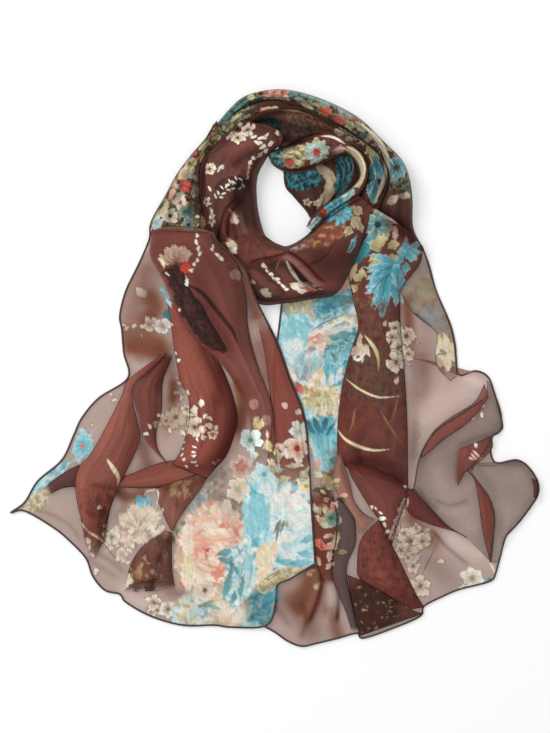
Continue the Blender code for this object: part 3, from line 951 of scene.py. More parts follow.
    # A full flower of many petals: each ring starts nearer the middle and lies over the last.
    def peony(self, x, y, size, tones, turn=0, squash=1.0, rings=4, petals=9, heart="ochre"):
        light, mid, deep, rim = tones.split()
        c, s = cosSin(turn)
        for ring in range(rings):
            share = 1 - 0.78 * ring / rings
            count = petals - ring
            for k in range(count):
                angle = 360 * (k + 0.5 * ring) / count + self.draw.uniform(-14, 14)
                ax, ay = cosSin(angle)
                wx, wy = ax * c - squash * ay * s, ax * s + squash * ay * c
                far = size * share * math.hypot(wx, wy) * self.draw.uniform(0.86, 1.1)
                way = math.degrees(math.atan2(wy, wx)) + self.draw.uniform(-10, 10)
                px, py = x + 0.22 * size * share * wx, y + 0.22 * size * share * wy
                long = 0.8 * far
                tip = light if self.draw.random() < 0.7 else mid
                base, line = (mid, deep)[ring % 2], (rim, "")[k % 2]
                self.petal(px, py, way, long, long * 0.85, f"{base} {tip} {line}", 1.5, 0.09, ragged=0.7)
                if self.draw.random() < 0.3:
                    self.petal(px, py, way + 8, long * 0.7, long * 0.2, f"{deep} {mid}", 1.0, 0.1, 0.55)
        self.disc(x, y, size * 0.2, size * 0.14, heart, uneven=0.25)

    def leaf(self, x, y, turn, long, wide, dark="olive", light="butter", vein="cream"):
        self.petal(x, y, turn, long, wide, f"{dark} {light}", 1.0, 0.25)
        c, s = cosSin(turn)
        self.stroke([x, y, x + long * 0.9 * c, y + long * 0.9 * s], 0.9, f"{vein} {dark}", 0.7)

    def blossom(self, x, y, size, tone="cream", middle="plum", turn=None, strength=0.95):
        turn = self.draw.uniform(0, 72) if turn is None else turn
        for k in range(5):
            way = turn + 72 * k + self.draw.uniform(-9, 9)
            long = size * self.draw.uniform(0.9, 1.12)
            self.petal(x, y, way, long + 0.8, size * 0.92, "brown", 1.9, 0, 0.6, sharp=0.6)
            self.petal(x, y, way, long, size * 0.78, "beige " + tone, 1.9, 0.1, strength, sharp=0.6)
        if size > 4:
            self.disc(x, y, size * 0.4, size * 0.4, middle, strength=0.8)
            for k in range(5):
                c, s = cosSin(turn + 72 * k)
                self.stroke([x, y, x + 0.6 * size * c, y + 0.6 * size * s], 0.8, middle, 0.7)

    def buds(self, places, across=3.4, down=2.6, tone="cream", turn=0):
        long, wide = max(across, down), min(across, down)
        for x, y in pairs(places):
            way = turn + self.draw.uniform(-25, 25) + (0 if across > down else 90)
            self.dabs([(x, y, way, long * self.draw.uniform(0.85, 1.1), wide * 0.85)], tone)

    # Uneven dye: the painted parts vary in small patches, as brush work does. Then dim, the painted
    # shade, darkens every colour.
    def mottleAndShade(self, dim):
        patch = 1 + self.cover * (ripples(self.plain, 3.4, 0.08, 41) + ripples(self.plain, 9, 0.09, 42))
        self.ink *= patch[:, None]
        warm = self.cover * ripples(self.plain, 7, 0.05, 43)
        self.ink *= 1 + warm[:, None] * np.array([1.0, 0.1, -1.0])
        # The painted shade of creases, folds and strand sides.
        self.ink = (self.ink * dim[:, None]).clip(0.003, 0.93)


def printLeftEnd(p):
    p.on("leftBase shoulder bulge innerBand longBand crossBand tongue cuff underPleat")
    # Under the neck: a cream flower, the red bud and the dark twigs.
    for angle in (200, 232, 262, 292, 322):
        p.petal(177, 264, angle, 19, 9, "earth beige blush", 1.5, ragged=1.2)
    p.petal(165, 270, 250, 12, 5, "butter cream")
    p.wash([163, 272, 176, 265, 184, 270, 190, 290, 203, 306, 212, 328, 228, 350, 220, 352, 204, 344,
        190, 326, 178, 308, 172, 290], "dark dark wine night", 3, 5, 2.5, 0.94)
    p.stroke([182, 268, 188, 288, 200, 306, 212, 326, 227, 349], 3, "dark", blunt=True)
    p.strew([172, 276, 186, 280, 200, 306, 222, 344, 206, 340, 184, 310], 22, (4, 8), ["brown plum"], 98, 0.5,
        (40, 80))
    p.stroke([186, 284, 202, 293, 218, 312, 232, 330, 238, 344], 4.2, "dark", 0.9, blunt=True)
    p.buds([168, 274, 180, 311], 3.2, 2.4, "cream", 40)
    p.dabs([(186, 268, 80, 12, 9.5)], "red", "rust")
    p.petal(186, 276, 80, 10, 2.6, "cream white")
    p.buds([198, 236, 197, 243, 199, 249, 201, 254, 198, 260, 194, 265, 192, 271], 4.2, 5.4, "cream", 15)
    p.buds([213, 249, 218, 256, 222, 260], 6, 4, "cream", 50)
    # Beside them: blue and cream petals, leaves and small blossoms.
    p.petals([(158, 281, 62, 26, 7), (163, 290, 66, 20, 5)], "aqua pale night")
    p.petal(166, 309, 80, 13, 8, "teal", 1)
    p.leaf(146, 298, 232, 13, 9, "sage", "cream")
    p.blossom(150, 324, 7.5, "cream", "smoke")
    p.blossom(163, 326, 9, "white", "smoke")
    p.buds([123, 325, 127, 329, 134, 326, 142, 327], 5, 4, "cream", -20)
    p.buds([141, 336], 5, 2, "blush", 60)
    p.buds([176, 353], 3, 3.6, "white")
    p.buds([179, 361], 5, 4.5, "white")
    p.buds([177, 378, 179, 383, 176, 393], 6, 4, "blush", 10)
    p.buds([187, 392, 181, 397], 4, 6, "cream", 10)
    # The white sprays on the big fold.
    for x, y, size, tone in ((176, 417, 12, "beige"), (166, 421, 5.5, "beige"), (195, 427, 10.5, "cream"),
            (186, 409, 5, "cream"), (213, 434, 5, "cream"), (157, 424, 4, "beige")):
        p.blossom(x, y, size, tone)
    p.dabs([(195, 411, 80, 12, 7), (201, 403, 70, 8, 5), (190, 414, 40, 8, 4.4), (205, 416, -30, 7, 4),
        (209, 426, 0, 8, 5), (210, 418, 40, 6, 4), (204, 437, 60, 6, 4), (216, 428, 0, 5, 4),
        (161, 415, 20, 6, 3.4), (170, 430, 60, 6, 4), (183, 433, 30, 7, 4), (150, 426, 20, 6, 3)], "cream",
        "dark")
    p.buds([146, 434], 6, 3.6, "white", -30)
    p.buds([112, 393, 114, 400, 92, 425], 4, 3)
    p.buds([184, 442, 182, 449, 183, 454, 184, 460, 187, 466], 4.2, 2.6, "white", -30)
    p.buds([197, 440, 194, 446, 194, 452, 194, 456, 194, 461, 197, 466], 4.4, 2.6, "white", 30)
    p.buds([214, 463, 219, 460], 7, 4, "blush", -30)
    # The blue corner at the far left.
    p.wash([80, 426, 92, 432, 90, 452, 82, 462, 74, 462, 74, 444], "sky pale sage smoke", 5, 7, 3, 0.75)
    p.wash([62, 460, 72, 462, 58, 478, 40, 490, 30, 500, 30, 492, 44, 476], "sky blue pale", 6, 7, 3, 0.85)
    p.wash([22, 503, 40, 490, 52, 488, 48, 502, 36, 512, 22, 509], "butter sage cream olive", 7, 5, 3, 0.75)
    p.flower(83, 446, 12, "blue sky pale coral", 8, 10, 0.6, 1.4, 0.2)
    p.petal(48, 476, 140, 18, 8, "pale sky pale")
    # The middle of the end: blades, arcs, the pale ruffled flower.
    p.stroke([107, 458, 113, 467, 119, 477, 118, 487], 4.4, "cream butter")
    p.stroke([144, 496, 148, 491, 157, 490, 158, 498, 156, 509], 2.6, "cream")
    p.petal(147, 509, 235, 17, 9, "sky blue sky", 1.2)
    p.petal(150, 506, 260, 12, 6, "blue sky", 1.2)
    p.strew([108, 528, 128, 506, 158, 508, 160, 530, 140, 545, 116, 548], 34, (8, 15),
        ["beige cream white", "blush cream", "cream cream white"], 61)
    p.petals([(139, 526, 300, 24, 18), (138, 524, 335, 24, 16), (137, 526, 262, 22, 16),
        (138, 530, 222, 24, 15), (136, 529, 60, 17, 14), (131, 532, 160, 20, 13)], "beige cream white", 1.7,
        0.2, 0.8, 1.3)
    for places in ([138, 527, 146, 516, 152, 508], [138, 527, 136, 516, 138, 508],
            [137, 528, 126, 522, 118, 520]):
        p.stroke(places, 1.2, "slate beige", 0.6)
    p.blossom(112, 537, 9, "cream", "teal")
    p.buds([105, 545, 118, 545], 7, 6, "blush")
    p.buds([100, 507, 106, 526, 108, 533], 4.2, 5.2)
    p.stroke([82, 522, 88, 530, 100, 538, 107, 544], 2.6, "cream butter", blunt=True)
    p.stroke([100, 539, 112, 554, 124, 569], 1.4, "dark moss", 0.8)
    p.petal(123, 590, 300, 21, 8, "cream butter white", 1.1)
    p.buds([128, 549, 133, 546, 128, 563], 6, 5)
    p.blossom(122, 555, 7, "cream", "sage")
    p.buds([88, 540, 90, 547, 92, 555], 4.5, 8, "blush", -8)
    p.buds([96, 571], 5.5, 6)
    # The brown pleats with darker petals.
    p.on("underPleat longBand")
    p.strew([80, 496, 112, 492, 106, 520, 98, 548, 88, 544, 80, 520], 26, (8, 15),
        ["brown earth dark", "dark brown", "earth rust dark"], 62, 0.55, (40, 120))
    p.on("cuff")
    p.strew([134, 562, 164, 540, 170, 590, 128, 592], 30, (10, 20), ["brown earth dark", "dark brown",
        "earth ochre brown"], 63, 0.6, (230, 340))
    p.strew([136, 560, 160, 544, 168, 566, 166, 584, 132, 588], 16, (5, 10),
        ["ochre beige brown", "earth sand dark", "brown rust dark"], 67, 0.55, (180, 330))
    for y, bend in ((578, 3), (584, -2), (590, 2)):
        p.stroke([(130, y), (146, y + bend), (168, y - 2)], 1.6, "dark", 0.7)
    p.on("tongue")
    p.strew([160, 490, 206, 472, 186, 508, 170, 526], 18, (10, 20), ["rust ochre earth", "earth rust",
        "ochre beige rust"], 64, 0.6, (260, 340))
    # Lower edge: small blossoms and a pale blue flower.
    p.on("leftBase cuff")
    p.wash([172, 528, 186, 522, 190, 534, 184, 544, 173, 542], "olive moss sage", 8, 6)
    p.blossom(154, 602, 8, "cream", "slate")
    p.blossom(157, 610, 6, "cream", "slate")
    p.blossom(168, 609, 9, "white", "slate")
    p.buds([149, 611, 148, 598], 5, 5)
    p.flower(179, 615, 10, "sky pale white butter", 6, 10, 0.75, 1.6, 0.2)
    # Pale flowers and leaves above the peonies.
    p.on("leftBase sidePleat shoulder")
    p.flower(198, 502, 12, "smoke pale pale sage", 5, 20, 0.9, 1.7, 0.25)
    p.flower(210, 487, 8, "sage cream butter sage", 5, 5, 0.5, 1.1, 0.2)
    printPeonies(p)
    p.on("leftBase sidePleat shoulder")
    p.strew([238, 450, 262, 440, 284, 440, 308, 446, 310, 484, 286, 486, 262, 478, 246, 480], 34, (8, 14),
        ["sage cream cream", "olive butter moss", "blush cream coral", "smoke pale white", "moss olive"], 90,
        0.85)
    p.petals([(254, 430, 285, 15, 6)], "olive sand moss")
    for x, y, size, tones, turn in ((251, 440, 12.5, "sage pale white teal", 18),
            (241, 467, 12.5, "rust blush cream coral", 50), (238, 489, 13, "beige cream white sage", 10),
            (264, 474, 12.5, "sky pale white smoke", 30), (297, 448, 15, "coral cream pale rust", 75),
            (306, 486, 10, "butter cream white ochre", 0)):
        p.flower(x, y, size, tones, 5, turn, 0.72, 1.4, 0.2)
    p.flower(299, 431, 11, "beige pale white sage", 5, 30, 0.75, 1.4, 0.2)
    p.leaf(279, 464, 258, 17, 5.5)
    p.leaf(275, 474, 245, 17, 5.5, "olive", "cream")
    p.leaf(285, 466, 355, 19, 6, "olive", "cream")
    p.leaf(277, 483, 330, 15, 7)
    p.leaf(300, 482, 300, 14, 9, "sage", "butter")
    p.buds([285, 405, 298, 412], 8, 9, "blush")
    p.on("shoulder")
    p.leaf(258, 432, 290, 14, 7, "ochre", "butter")
    for x, y in ((254, 404), (266, 420)):
        p.disc(x, y, 10, 11, "beige", strength=0.4)
    p.disc(236, 276, 11, 8.8, "blush", 40, strength=0.33, uneven=0.15)


# The great flowers of the left end, dense and ruffled, with paler cloth seen round them.
def printPeonies(p):
    p.wash([180, 500, 205, 470, 236, 470, 250, 500, 240, 530, 204, 528, 182, 524], "smoke sage beige slate",
        10, 9, 8, 0.5)
    p.wash([176, 540, 190, 515, 214, 500, 240, 520, 250, 560, 236, 600, 200, 604, 182, 588],
        "peach cream blush beige coral", 11, 12, 4, 0.95)
    p.wash([242, 486, 256, 470, 278, 478, 300, 486, 315, 498, 316, 565, 290, 584, 262, 590, 246, 560],
        "sky pale pale white sky", 16, 14, 4, 0.95)
    p.wash([168, 602, 196, 592, 230, 584, 262, 574, 300, 566, 282, 580, 277, 600, 264, 627, 226, 628,
        183, 624], "cream beige pale sage butter", 21, 10, 4, 0.88)
    p.on("leftBase rightBase")
    p.wash([248, 592, 270, 584, 279, 590, 276, 612, 264, 627, 250, 626, 244, 606], "deep teal blue smoke", 26,
        8, 4, 0.92)
    p.on("leftBase")
    # The blush one.
    p.strew([182, 548, 196, 530, 212, 520, 232, 526, 242, 550, 230, 584, 206, 590, 190, 574], 26, (16, 26),
        ["peach cream cream", "coral peach cream", "blush cream", "beige cream cream"], 71)
    p.peony(207, 550, 34, "cream peach coral cream", 70, 0.85, 5, 9, "red")
    p.petals([(238, 536, 250, 30, 17), (228, 530, 262, 26, 14), (240, 545, 220, 24, 14),
        (196, 528, 240, 16, 12)], "coral cream cream", 1.6, 0.25, 0.85, 1.4)
    p.stroke([195, 562, 199, 547, 213, 540, 233, 536], 10, "coral peach", 0.7, soft=4)
    p.petal(189, 552, 92, 40, 13, "butter cream white", 1.2, 0.3, ragged=1)
    p.petal(182, 545, 100, 26, 11, "beige peach cream", 1.2, 0.3, ragged=1)
    p.disc(219, 573, 15, 9, "coral", -25, uneven=0.3, strength=0.85)
    for places in ([196, 560, 210, 566, 226, 566], [198, 568, 212, 574], [216, 540, 230, 538, 240, 534],
            [190, 540, 200, 532, 212, 528], [204, 590, 212, 584, 222, 584]):
        p.stroke(places, 1.4, "coral rust", 0.55)
    # The big blue one, white where it catches the light.
    p.strew([268, 488, 290, 484, 314, 500, 315, 550, 296, 572, 268, 560, 262, 520], 28, (18, 30),
        ["pale white white", "sky pale white", "smoke pale", "pale pale white"], 72)
    p.peony(286, 524, 33, "white pale sky white", 20, 0.95, 5, 9, "sage")
    p.wash([244, 492, 256, 480, 268, 492, 270, 520, 264, 545, 250, 546, 243, 520], "sky sky blue pale", 32,
        10, 3, 0.95)
    p.petals([(262, 492, 95, 44, 20), (252, 492, 80, 40, 16), (248, 512, 80, 28, 12)], "sky sky pale", 1.2,
        0.3, 0.8, 1)
    p.petals([(272, 500, 240, 22, 12), (276, 520, 275, 34, 13), (284, 530, 330, 32, 14),
        (282, 545, 60, 24, 12)], "pale white white", 1.5, 0.28, 0.9, 1.5)
    for places in ([281, 518, 278, 530, 275, 546], [284, 520, 280, 534], [279, 520, 274, 534]):
        p.stroke(places, 3, "moss slate", 0.75)
    p.petals([(300, 543, 330, 17, 9), (296, 552, 10, 18, 9), (272, 558, 15, 28, 9), (286, 564, 355, 28, 9)],
        "blue sky pale", 1.3, 0.3, 0.85, 1)
    # Below: blue and teal petals, and a cream one with green veins.
    p.wash([228, 548, 246, 544, 258, 552, 256, 580, 244, 604, 232, 606, 226, 580], "sky pale blue white", 36,
        8)
    p.petals([(246, 548, 84, 42, 13), (240, 560, 98, 38, 11), (252, 552, 100, 40, 11)], "sky pale white", 1.2,
        0.35, 0.8, 1)
    p.petals([(216, 556, -22, 18, 8), (217, 558, 15, 17, 7), (233, 562, 104, 42, 8), (230, 560, 60, 22, 5),
        (244, 574, 100, 26, 6), (236, 590, 110, 16, 6)], "teal blue sage", 1.2)
    for places in ([232, 552, 230, 572, 228, 596], [246, 556, 240, 580, 236, 600],
            [252, 560, 250, 580, 242, 600]):
        p.stroke(places, 1.3, "teal olive", 0.7)
    p.wash([256, 548, 274, 540, 278, 550, 270, 572, 260, 584, 256, 566], "butter cream peach", 41)
    p.petal(262, 545, 70, 28, 12, "butter cream white", 1.2, 0.2, 0.9)
    p.wash([258, 584, 276, 570, 300, 566, 306, 570, 284, 580, 264, 594], "butter peach sage olive", 46, 6, 3,
        0.92)
    for shift in range(-6, 9, 3):
        p.stroke([(292, 569 + shift * 0.6), (276, 578 + shift), (260, 590 + shift * 1.2)], 1.1, "olive moss",
            0.7)
    p.flower(205, 590, 12, "beige cream white slate", 5, 10, 0.8, 1.7, 0.2)
    p.flower(192, 600, 7, "sage pale white olive", 5, 40, 0.8, 1.7, 0.2)
    # The foot of the end.
    for x, y, turn, long, wide, tones in ((216, 626, 285, 26, 20, "beige cream white"),
            (232, 626, 300, 24, 16, "cream white white"), (248, 622, 262, 26, 13, "cream peach white"),
            (228, 627, 255, 22, 13, "peach cream white"), (202, 622, 275, 22, 15, "smoke sky white"),
            (190, 622, 300, 18, 14, "sage pale white"), (240, 627, 350, 20, 8, "sky pale white"),
            (196, 606, 350, 20, 8, "moss sage white"), (206, 604, 20, 16, 7, "blue sage white")):
        p.petal(x, y, turn, long, wide, tones, 1.5, 0.3, 0.8, ragged=1.2)
    p.petals([(262, 610, 300, 24, 14)], "deep blue sky", 1.3, 0.35, 0.6, 1)


def printRightEnd(p):
    p.on("rightBase pinkStrip redFloral greyStrip")
    # The strip of large flowers below the front fold.
    p.wash([284, 296, 352, 280, 364, 322, 354, 346, 346, 376, 340, 402, 338, 440, 330, 470, 322, 472,
        310, 450, 304, 415, 290, 378, 277, 342], "pale sky cream smoke", 51, 16, 3, 0.97)
    p.wash([285, 294, 322, 292, 318, 318, 300, 324, 286, 312], "olive butter beige sage", 52, 7, 4)
    p.wash([314, 300, 346, 290, 352, 306, 330, 320, 314, 316], "blue sky smoke teal", 53, 8, 4, 0.92)
    p.wash([281, 318, 304, 312, 314, 326, 308, 350, 292, 366, 281, 350], "sky sky pale blue", 54, 12, 4)
    p.wash([312, 330, 340, 314, 360, 318, 352, 334, 330, 340, 318, 350], "pale beige butter smoke", 55, 9, 3,
        0.92)
    p.wash([308, 334, 330, 330, 334, 342, 322, 352, 308, 350], "peach coral cream", 56, 8, 5)
    p.wash([330, 334, 356, 328, 356, 350, 348, 374, 336, 388, 322, 386, 322, 360], "teal blue sky sage deep",
        57, 7, 3, 0.94)
    p.wash([294, 352, 316, 346, 322, 360, 316, 380, 300, 380], "smoke pale blush", 58, 10, 5)
    p.wash([310, 362, 322, 358, 324, 384, 312, 392], "butter cream ochre", 59, 8, 4)
    p.wash([300, 386, 324, 382, 342, 392, 340, 412, 322, 420, 306, 410], "butter olive cream ochre", 60, 7, 4,
        0.92)
    p.wash([304, 408, 316, 404, 314, 424, 308, 424], "sky pale", 61, 8)
    p.wash([308, 420, 330, 416, 342, 414, 338, 442, 330, 472, 316, 462], "sky blue sky pale", 62, 12, 3, 0.95)
    p.petals([(352, 298, 168, 38, 16), (330, 312, 200, 18, 10)], "teal blue pale", 0.9, 0.35, 0.8, 1.2)
    p.disc(329, 307, 12, 7, "deep", -10, soft=3, strength=0.8, uneven=0.2)
    p.stroke([311, 331, 326, 322, 348, 313], 2, "deep teal", 0.8)
    p.stroke([312, 336, 328, 327, 350, 318], 3, "pale cream", 0.8)
    p.petals([(308, 342, 245, 28, 12), (290, 346, 275, 32, 13)], "sky sky pale", 1, 0.35, 0.8, 1.3)
    p.petals([(282, 362, 290, 26, 11), (288, 368, 300, 30, 11), (284, 352, 320, 20, 11)], "pale white pale",
        1.2, 0.35, 0.7, 1.2)
    p.petals([(296, 380, 282, 30, 12), (303, 382, 292, 32, 12), (309, 378, 300, 26, 12)], "smoke sky pale",
        1.4, 0.35, 0.6, 1.2)
    p.petal(314, 343, -22, 44, 14, "beige pale butter", 1.1, 0.3, 0.8, ragged=1)
    p.petals([(352, 332, 160, 22, 9), (328, 344, 92, 38, 8), (340, 340, 200, 14, 7)], "teal blue sage", 1,
        0.4, 0.85, 1.2)
    p.petals([(349, 342, 112, 24, 9), (334, 386, 280, 26, 9), (326, 380, 275, 30, 8)], "blue sky pale", 1,
        0.35, 0.85, 1.2)
    p.petals([(330, 388, 280, 16, 6), (336, 384, 290, 18, 6), (324, 388, 265, 14, 6)], "pale white white", 1,
        0.3, 0.8, 1)
    p.petal(296, 382, 60, 14, 8, "red coral", 1.2)
    p.petals([(312, 388, 88, 26, 9)], "ochre butter olive", 1.1, 0.4, 0.85, 1)
    p.petals([(322, 388, 85, 34, 9), (330, 388, 78, 34, 10)], "butter cream olive", 1.1, 0.5, 0.9, 1.2)
    for x in (320, 324, 328, 332):
        p.stroke([(326, 390), (x, 404), (x - 1, 414)], 1.1, "olive moss", 0.7)
    p.petals([(311, 418, 78, 40, 10), (322, 414, 84, 54, 12), (330, 414, 98, 50, 10), (318, 428, 80, 44, 9)],
        "blue sky pale", 0.9, 0.4, 0.8, 1)
    p.petals([(320, 434, 250, 20, 6), (322, 434, 285, 20, 6), (326, 434, 310, 17, 6), (314, 434, 240, 18, 6)],
        "deep inkBlue blue", 0.9, 0.3, 0.9, 1.2)
    for places in ([316, 430, 318, 446, 322, 462], [326, 428, 328, 444, 328, 460]):
        p.stroke(places, 1.4, "deep sky", 0.6)
    # Leaves and buds in the red strip below it.
    p.strew([312, 470, 332, 466, 336, 500, 336, 560, 320, 580, 312, 530], 26, (8, 14),
        ["moss olive butter", "dark moss", "sage cream olive", "coral peach cream"], 81, 0.85)
    p.leaf(322, 474, 40, 15, 7)
    p.leaf(312, 472, 20, 12, 7, "sage", "cream")
    p.petal(330, 512, 300, 13, 7, "coral peach cream", 1.2)
    p.flower(331, 518, 10, "teal sage butter moss", 5, 20, 0.8, 1.3, 0.2)
    p.leaf(319, 523, 15, 13, 6, "sage", "cream")
    p.leaf(337, 530, 95, 13, 5)
    p.petal(314, 538, 45, 17, 8, "coral red peach", 1.2)
    p.petal(323, 545, 10, 13, 8, "coral peach cream", 1.2)
    p.buds([330, 555, 329, 565], 7, 9, "blush", 20)
    # Around the neck's right side: teal, olive and bright blue flowers.
    p.on("frontFold rightBase")
    p.flower(377, 226, 18, "teal sage white inkBlue", 7, 12, 0.6, 1.3, 0.18)
    p.petal(386, 224, 330, 15, 9, "sage cream white", 1.3)
    p.stroke([373, 236, 365, 250, 355, 264], 9, "blue teal", blunt=True)
    p.petals([(382, 252, 215, 17, 10), (380, 250, 275, 15, 9), (385, 250, 330, 14, 10),
        (381, 254, 150, 15, 8), (382, 260, 140, 18, 10), (388, 256, 20, 11, 8), (362, 282, 225, 12, 9),
        (360, 280, 290, 11, 8), (359, 284, 140, 11, 8)], "olive butter butter", 1.4)
    p.stroke([357, 264, 350, 276, 341, 292], 6, "butter coral", blunt=True)
    p.strew([348, 290, 370, 286, 372, 312, 352, 316], 14, (7, 12), ["rust earth beige", "moss olive"], 85,
        0.4)
    p.petal(394, 226, 88, 15, 6, "cream blush white", 1.2)
    p.petals([(404, 256, 275, 20, 8), (404, 256, 318, 22, 9), (406, 256, 345, 16, 8), (404, 254, 30, 14, 8),
        (406, 262, 95, 14, 8), (402, 256, 130, 18, 8), (404, 258, 240, 12, 7)], "blue sky pale", 0.75, 0.35,
        sharp=1.1, ragged=1)
    p.wash([370, 272, 384, 262, 398, 262, 402, 276, 396, 292, 386, 300, 374, 294], "blue deep sky", 65, 7, 4)
    for x, y, turn, long, wide in ((396, 264, 200, 30, 9), (392, 270, 160, 30, 11), (390, 274, 140, 34, 11),
            (388, 280, 122, 32, 10), (386, 284, 98, 36, 11), (390, 280, 62, 28, 10), (396, 272, 62, 22, 9),
            (396, 266, 90, 24, 9), (388, 268, 180, 24, 8), (382, 278, 150, 20, 8), (384, 290, 118, 22, 7),
            (392, 286, 78, 22, 7)):
        p.petal(x, y, turn, long, wide, "blue sky pale", 0.72, 0.45, 0.92, 1, 1.15, 1.1)
    for places in ([394, 268, 384, 284, 384, 304], [392, 272, 378, 284, 370, 296],
            [396, 270, 398, 284, 396, 296], [390, 268, 380, 272, 370, 282]):
        p.stroke(places, 1.5, "deep inkBlue", 0.6)
    # Brown and rust shadows, grasses and a hanging cream flower.
    p.on("frontFold")
    p.wash([352, 312, 384, 300, 398, 320, 402, 360, 404, 400, 344, 402, 348, 350],
        "earth dark moss slate brown", 91, 8, 8, 0.5)
    p.wash([344, 402, 404, 400, 406, 470, 380, 460, 344, 456], "earth brown rust wine", 92, 13, 8, 0.4)
    p.strew([360, 312, 382, 308, 388, 340, 376, 356, 362, 340], 24, (7, 14),
        ["earth moss", "brown earth", "slate earth"], 82, 0.35)
    p.strew([346, 360, 372, 356, 398, 372, 396, 396, 366, 402, 344, 392], 44, (8, 16),
        ["moss brown", "slate brown", "dark slate", "earth moss"], 83, 0.45)
    for places in ([355, 408, 352, 424, 346, 438], [380, 411, 392, 430, 406, 451],
            [398, 396, 392, 418, 382, 431]):
        p.stroke(places, 1.9, "ochre earth", 0.55)
    p.petals([(360, 332, 92, 16, 5.4), (361, 344, 140, 18, 5.4), (362, 344, 118, 18, 5.4),
        (363, 344, 96, 17, 5.4), (364, 343, 70, 14, 5.4)], "beige cream white", 1.5)
    p.stroke([352, 356, 358, 360, 366, 352], 3, "white cream")
    p.stroke([364, 335, 374, 348, 378, 360, 378, 373], 3.6, "butter olive")
    p.stroke([345, 378, 359, 389, 378, 397, 400, 396], 2.2, "butter cream")
    p.stroke([337, 429, 345, 439, 358, 446, 373, 450, 390, 449], 3.2, "butter cream")
    p.buds([385, 323], 5, 6, "blush", 20)
    p.on("frontFold rightBase outerTurn")
    for x, y, size in ((395, 328, 7), (392, 337, 7), (406, 336, 10), (398, 348, 8), (408, 354, 6.5),
            (396, 362, 10)):
        p.blossom(x, y, size, "cream", "brown")
    p.stroke([399, 312, 400, 325, 398, 345, 396, 366], 1, "dark", 0.6)
    p.buds([409, 364, 422, 340], 3.6, 4.6, "blush")
    p.buds([397, 380], 5, 7, "blush", 20)
    # The turned edge at the right: a pale print seen through it.
    p.on("outerTurn")
    p.wash([402, 294, 424, 262, 440, 300, 452, 336, 440, 350, 420, 330], "smoke slate sage olive", 94, 12, 8,
        0.45)
    p.disc(424, 292, 26, 26, "olive", soft=8, strength=0.28)
    p.disc(432, 316, 28, 14, "smoke", 38, soft=4, strength=0.55, uneven=0.12)
    p.stroke([412, 312, 424, 322, 436, 334], 5, "inkBlue deep", 0.65)
    p.petals([(440, 334, 100, 22, 10), (444, 332, 80, 22, 10), (448, 350, 95, 22, 10),
        (443, 352, 110, 18, 10), (452, 342, 85, 20, 10)], "butter cream sage", 1.4, 0.3)
    p.disc(440, 366, 9, 20, "rust", -30, soft=3, strength=0.5)
    # The spread lower part: sprays, buds and pale strokes.
    p.on("rightBase sBand wedge triangle lowerFold redBand lobe darkTurn")
    p.buds([482, 405, 482, 414, 472, 418], 4.8, 5.2, "cream", 10)
    p.buds([475, 445], 4.4, 5, "white")
    for places in ([472, 450, 478, 456, 483, 461], [470, 453, 475, 458, 480, 461], [468, 457, 474, 460]):
        p.stroke(places, 2.6, "cream coral")
    p.buds([405, 486], 5, 6, "white")
    p.buds([371, 506, 376, 508, 380, 512], 4.4, 3.4, "cream", 50)
    p.buds([382, 518], 5.4, 5, "white")
    p.buds([384, 524, 387, 531], 4, 4.4, "cream", 50)
    p.on("rightBase redBand sBand lowerFold triangle")
    p.dabs([(405 - 1.05 * k + side, 500 + 2.9 * k, 108 + 14 * (k % 3), 7,
        3) for k in range(14) for side in (-2, 2.4)], "blush", "dark")
    p.on("rightBase redBand sBand")
    for x, y, size in ((410, 541, 13), (401, 550, 8), (422, 541, 9), (416, 528, 5), (404, 533, 6),
            (413, 566, 7), (420, 586, 11), (412, 556, 7), (426, 533, 4), (408, 558, 5)):
        p.blossom(x, y, size, "cream", "slate", strength=0.85)
    p.buds([441, 561], 7, 5, "cream", -35)
    p.flower(472, 578, 12, "beige white cream olive", 6, 20, 0.7, 1.5, 0.22)
    p.buds([462, 586, 465, 582], 6, 5)
    p.petal(482, 583, -20, 11, 5, "sky teal", 1.1)
    p.stroke([489, 562, 493, 568, 495, 576], 2.4, "cream butter")
    # The darkest turn at the foot: beige dots and teal touches.
    p.on("darkTurn")
    p.disc(372, 606, 54, 62, "dark", soft=10, strength=0.75)
    p.strew([352, 584, 384, 594, 420, 612, 360, 636], 46, (2.4, 4.6),
        ["beige beige", "plum beige", "moss olive", "rust earth"], 86, 0.6)
    p.on("triangle")
    p.wash([380, 524, 364, 540, 358, 562, 364, 580, 404, 600, 418, 600, 398, 560], "rust brown earth dark",
        93, 8, 6, 0.5)
    p.on()


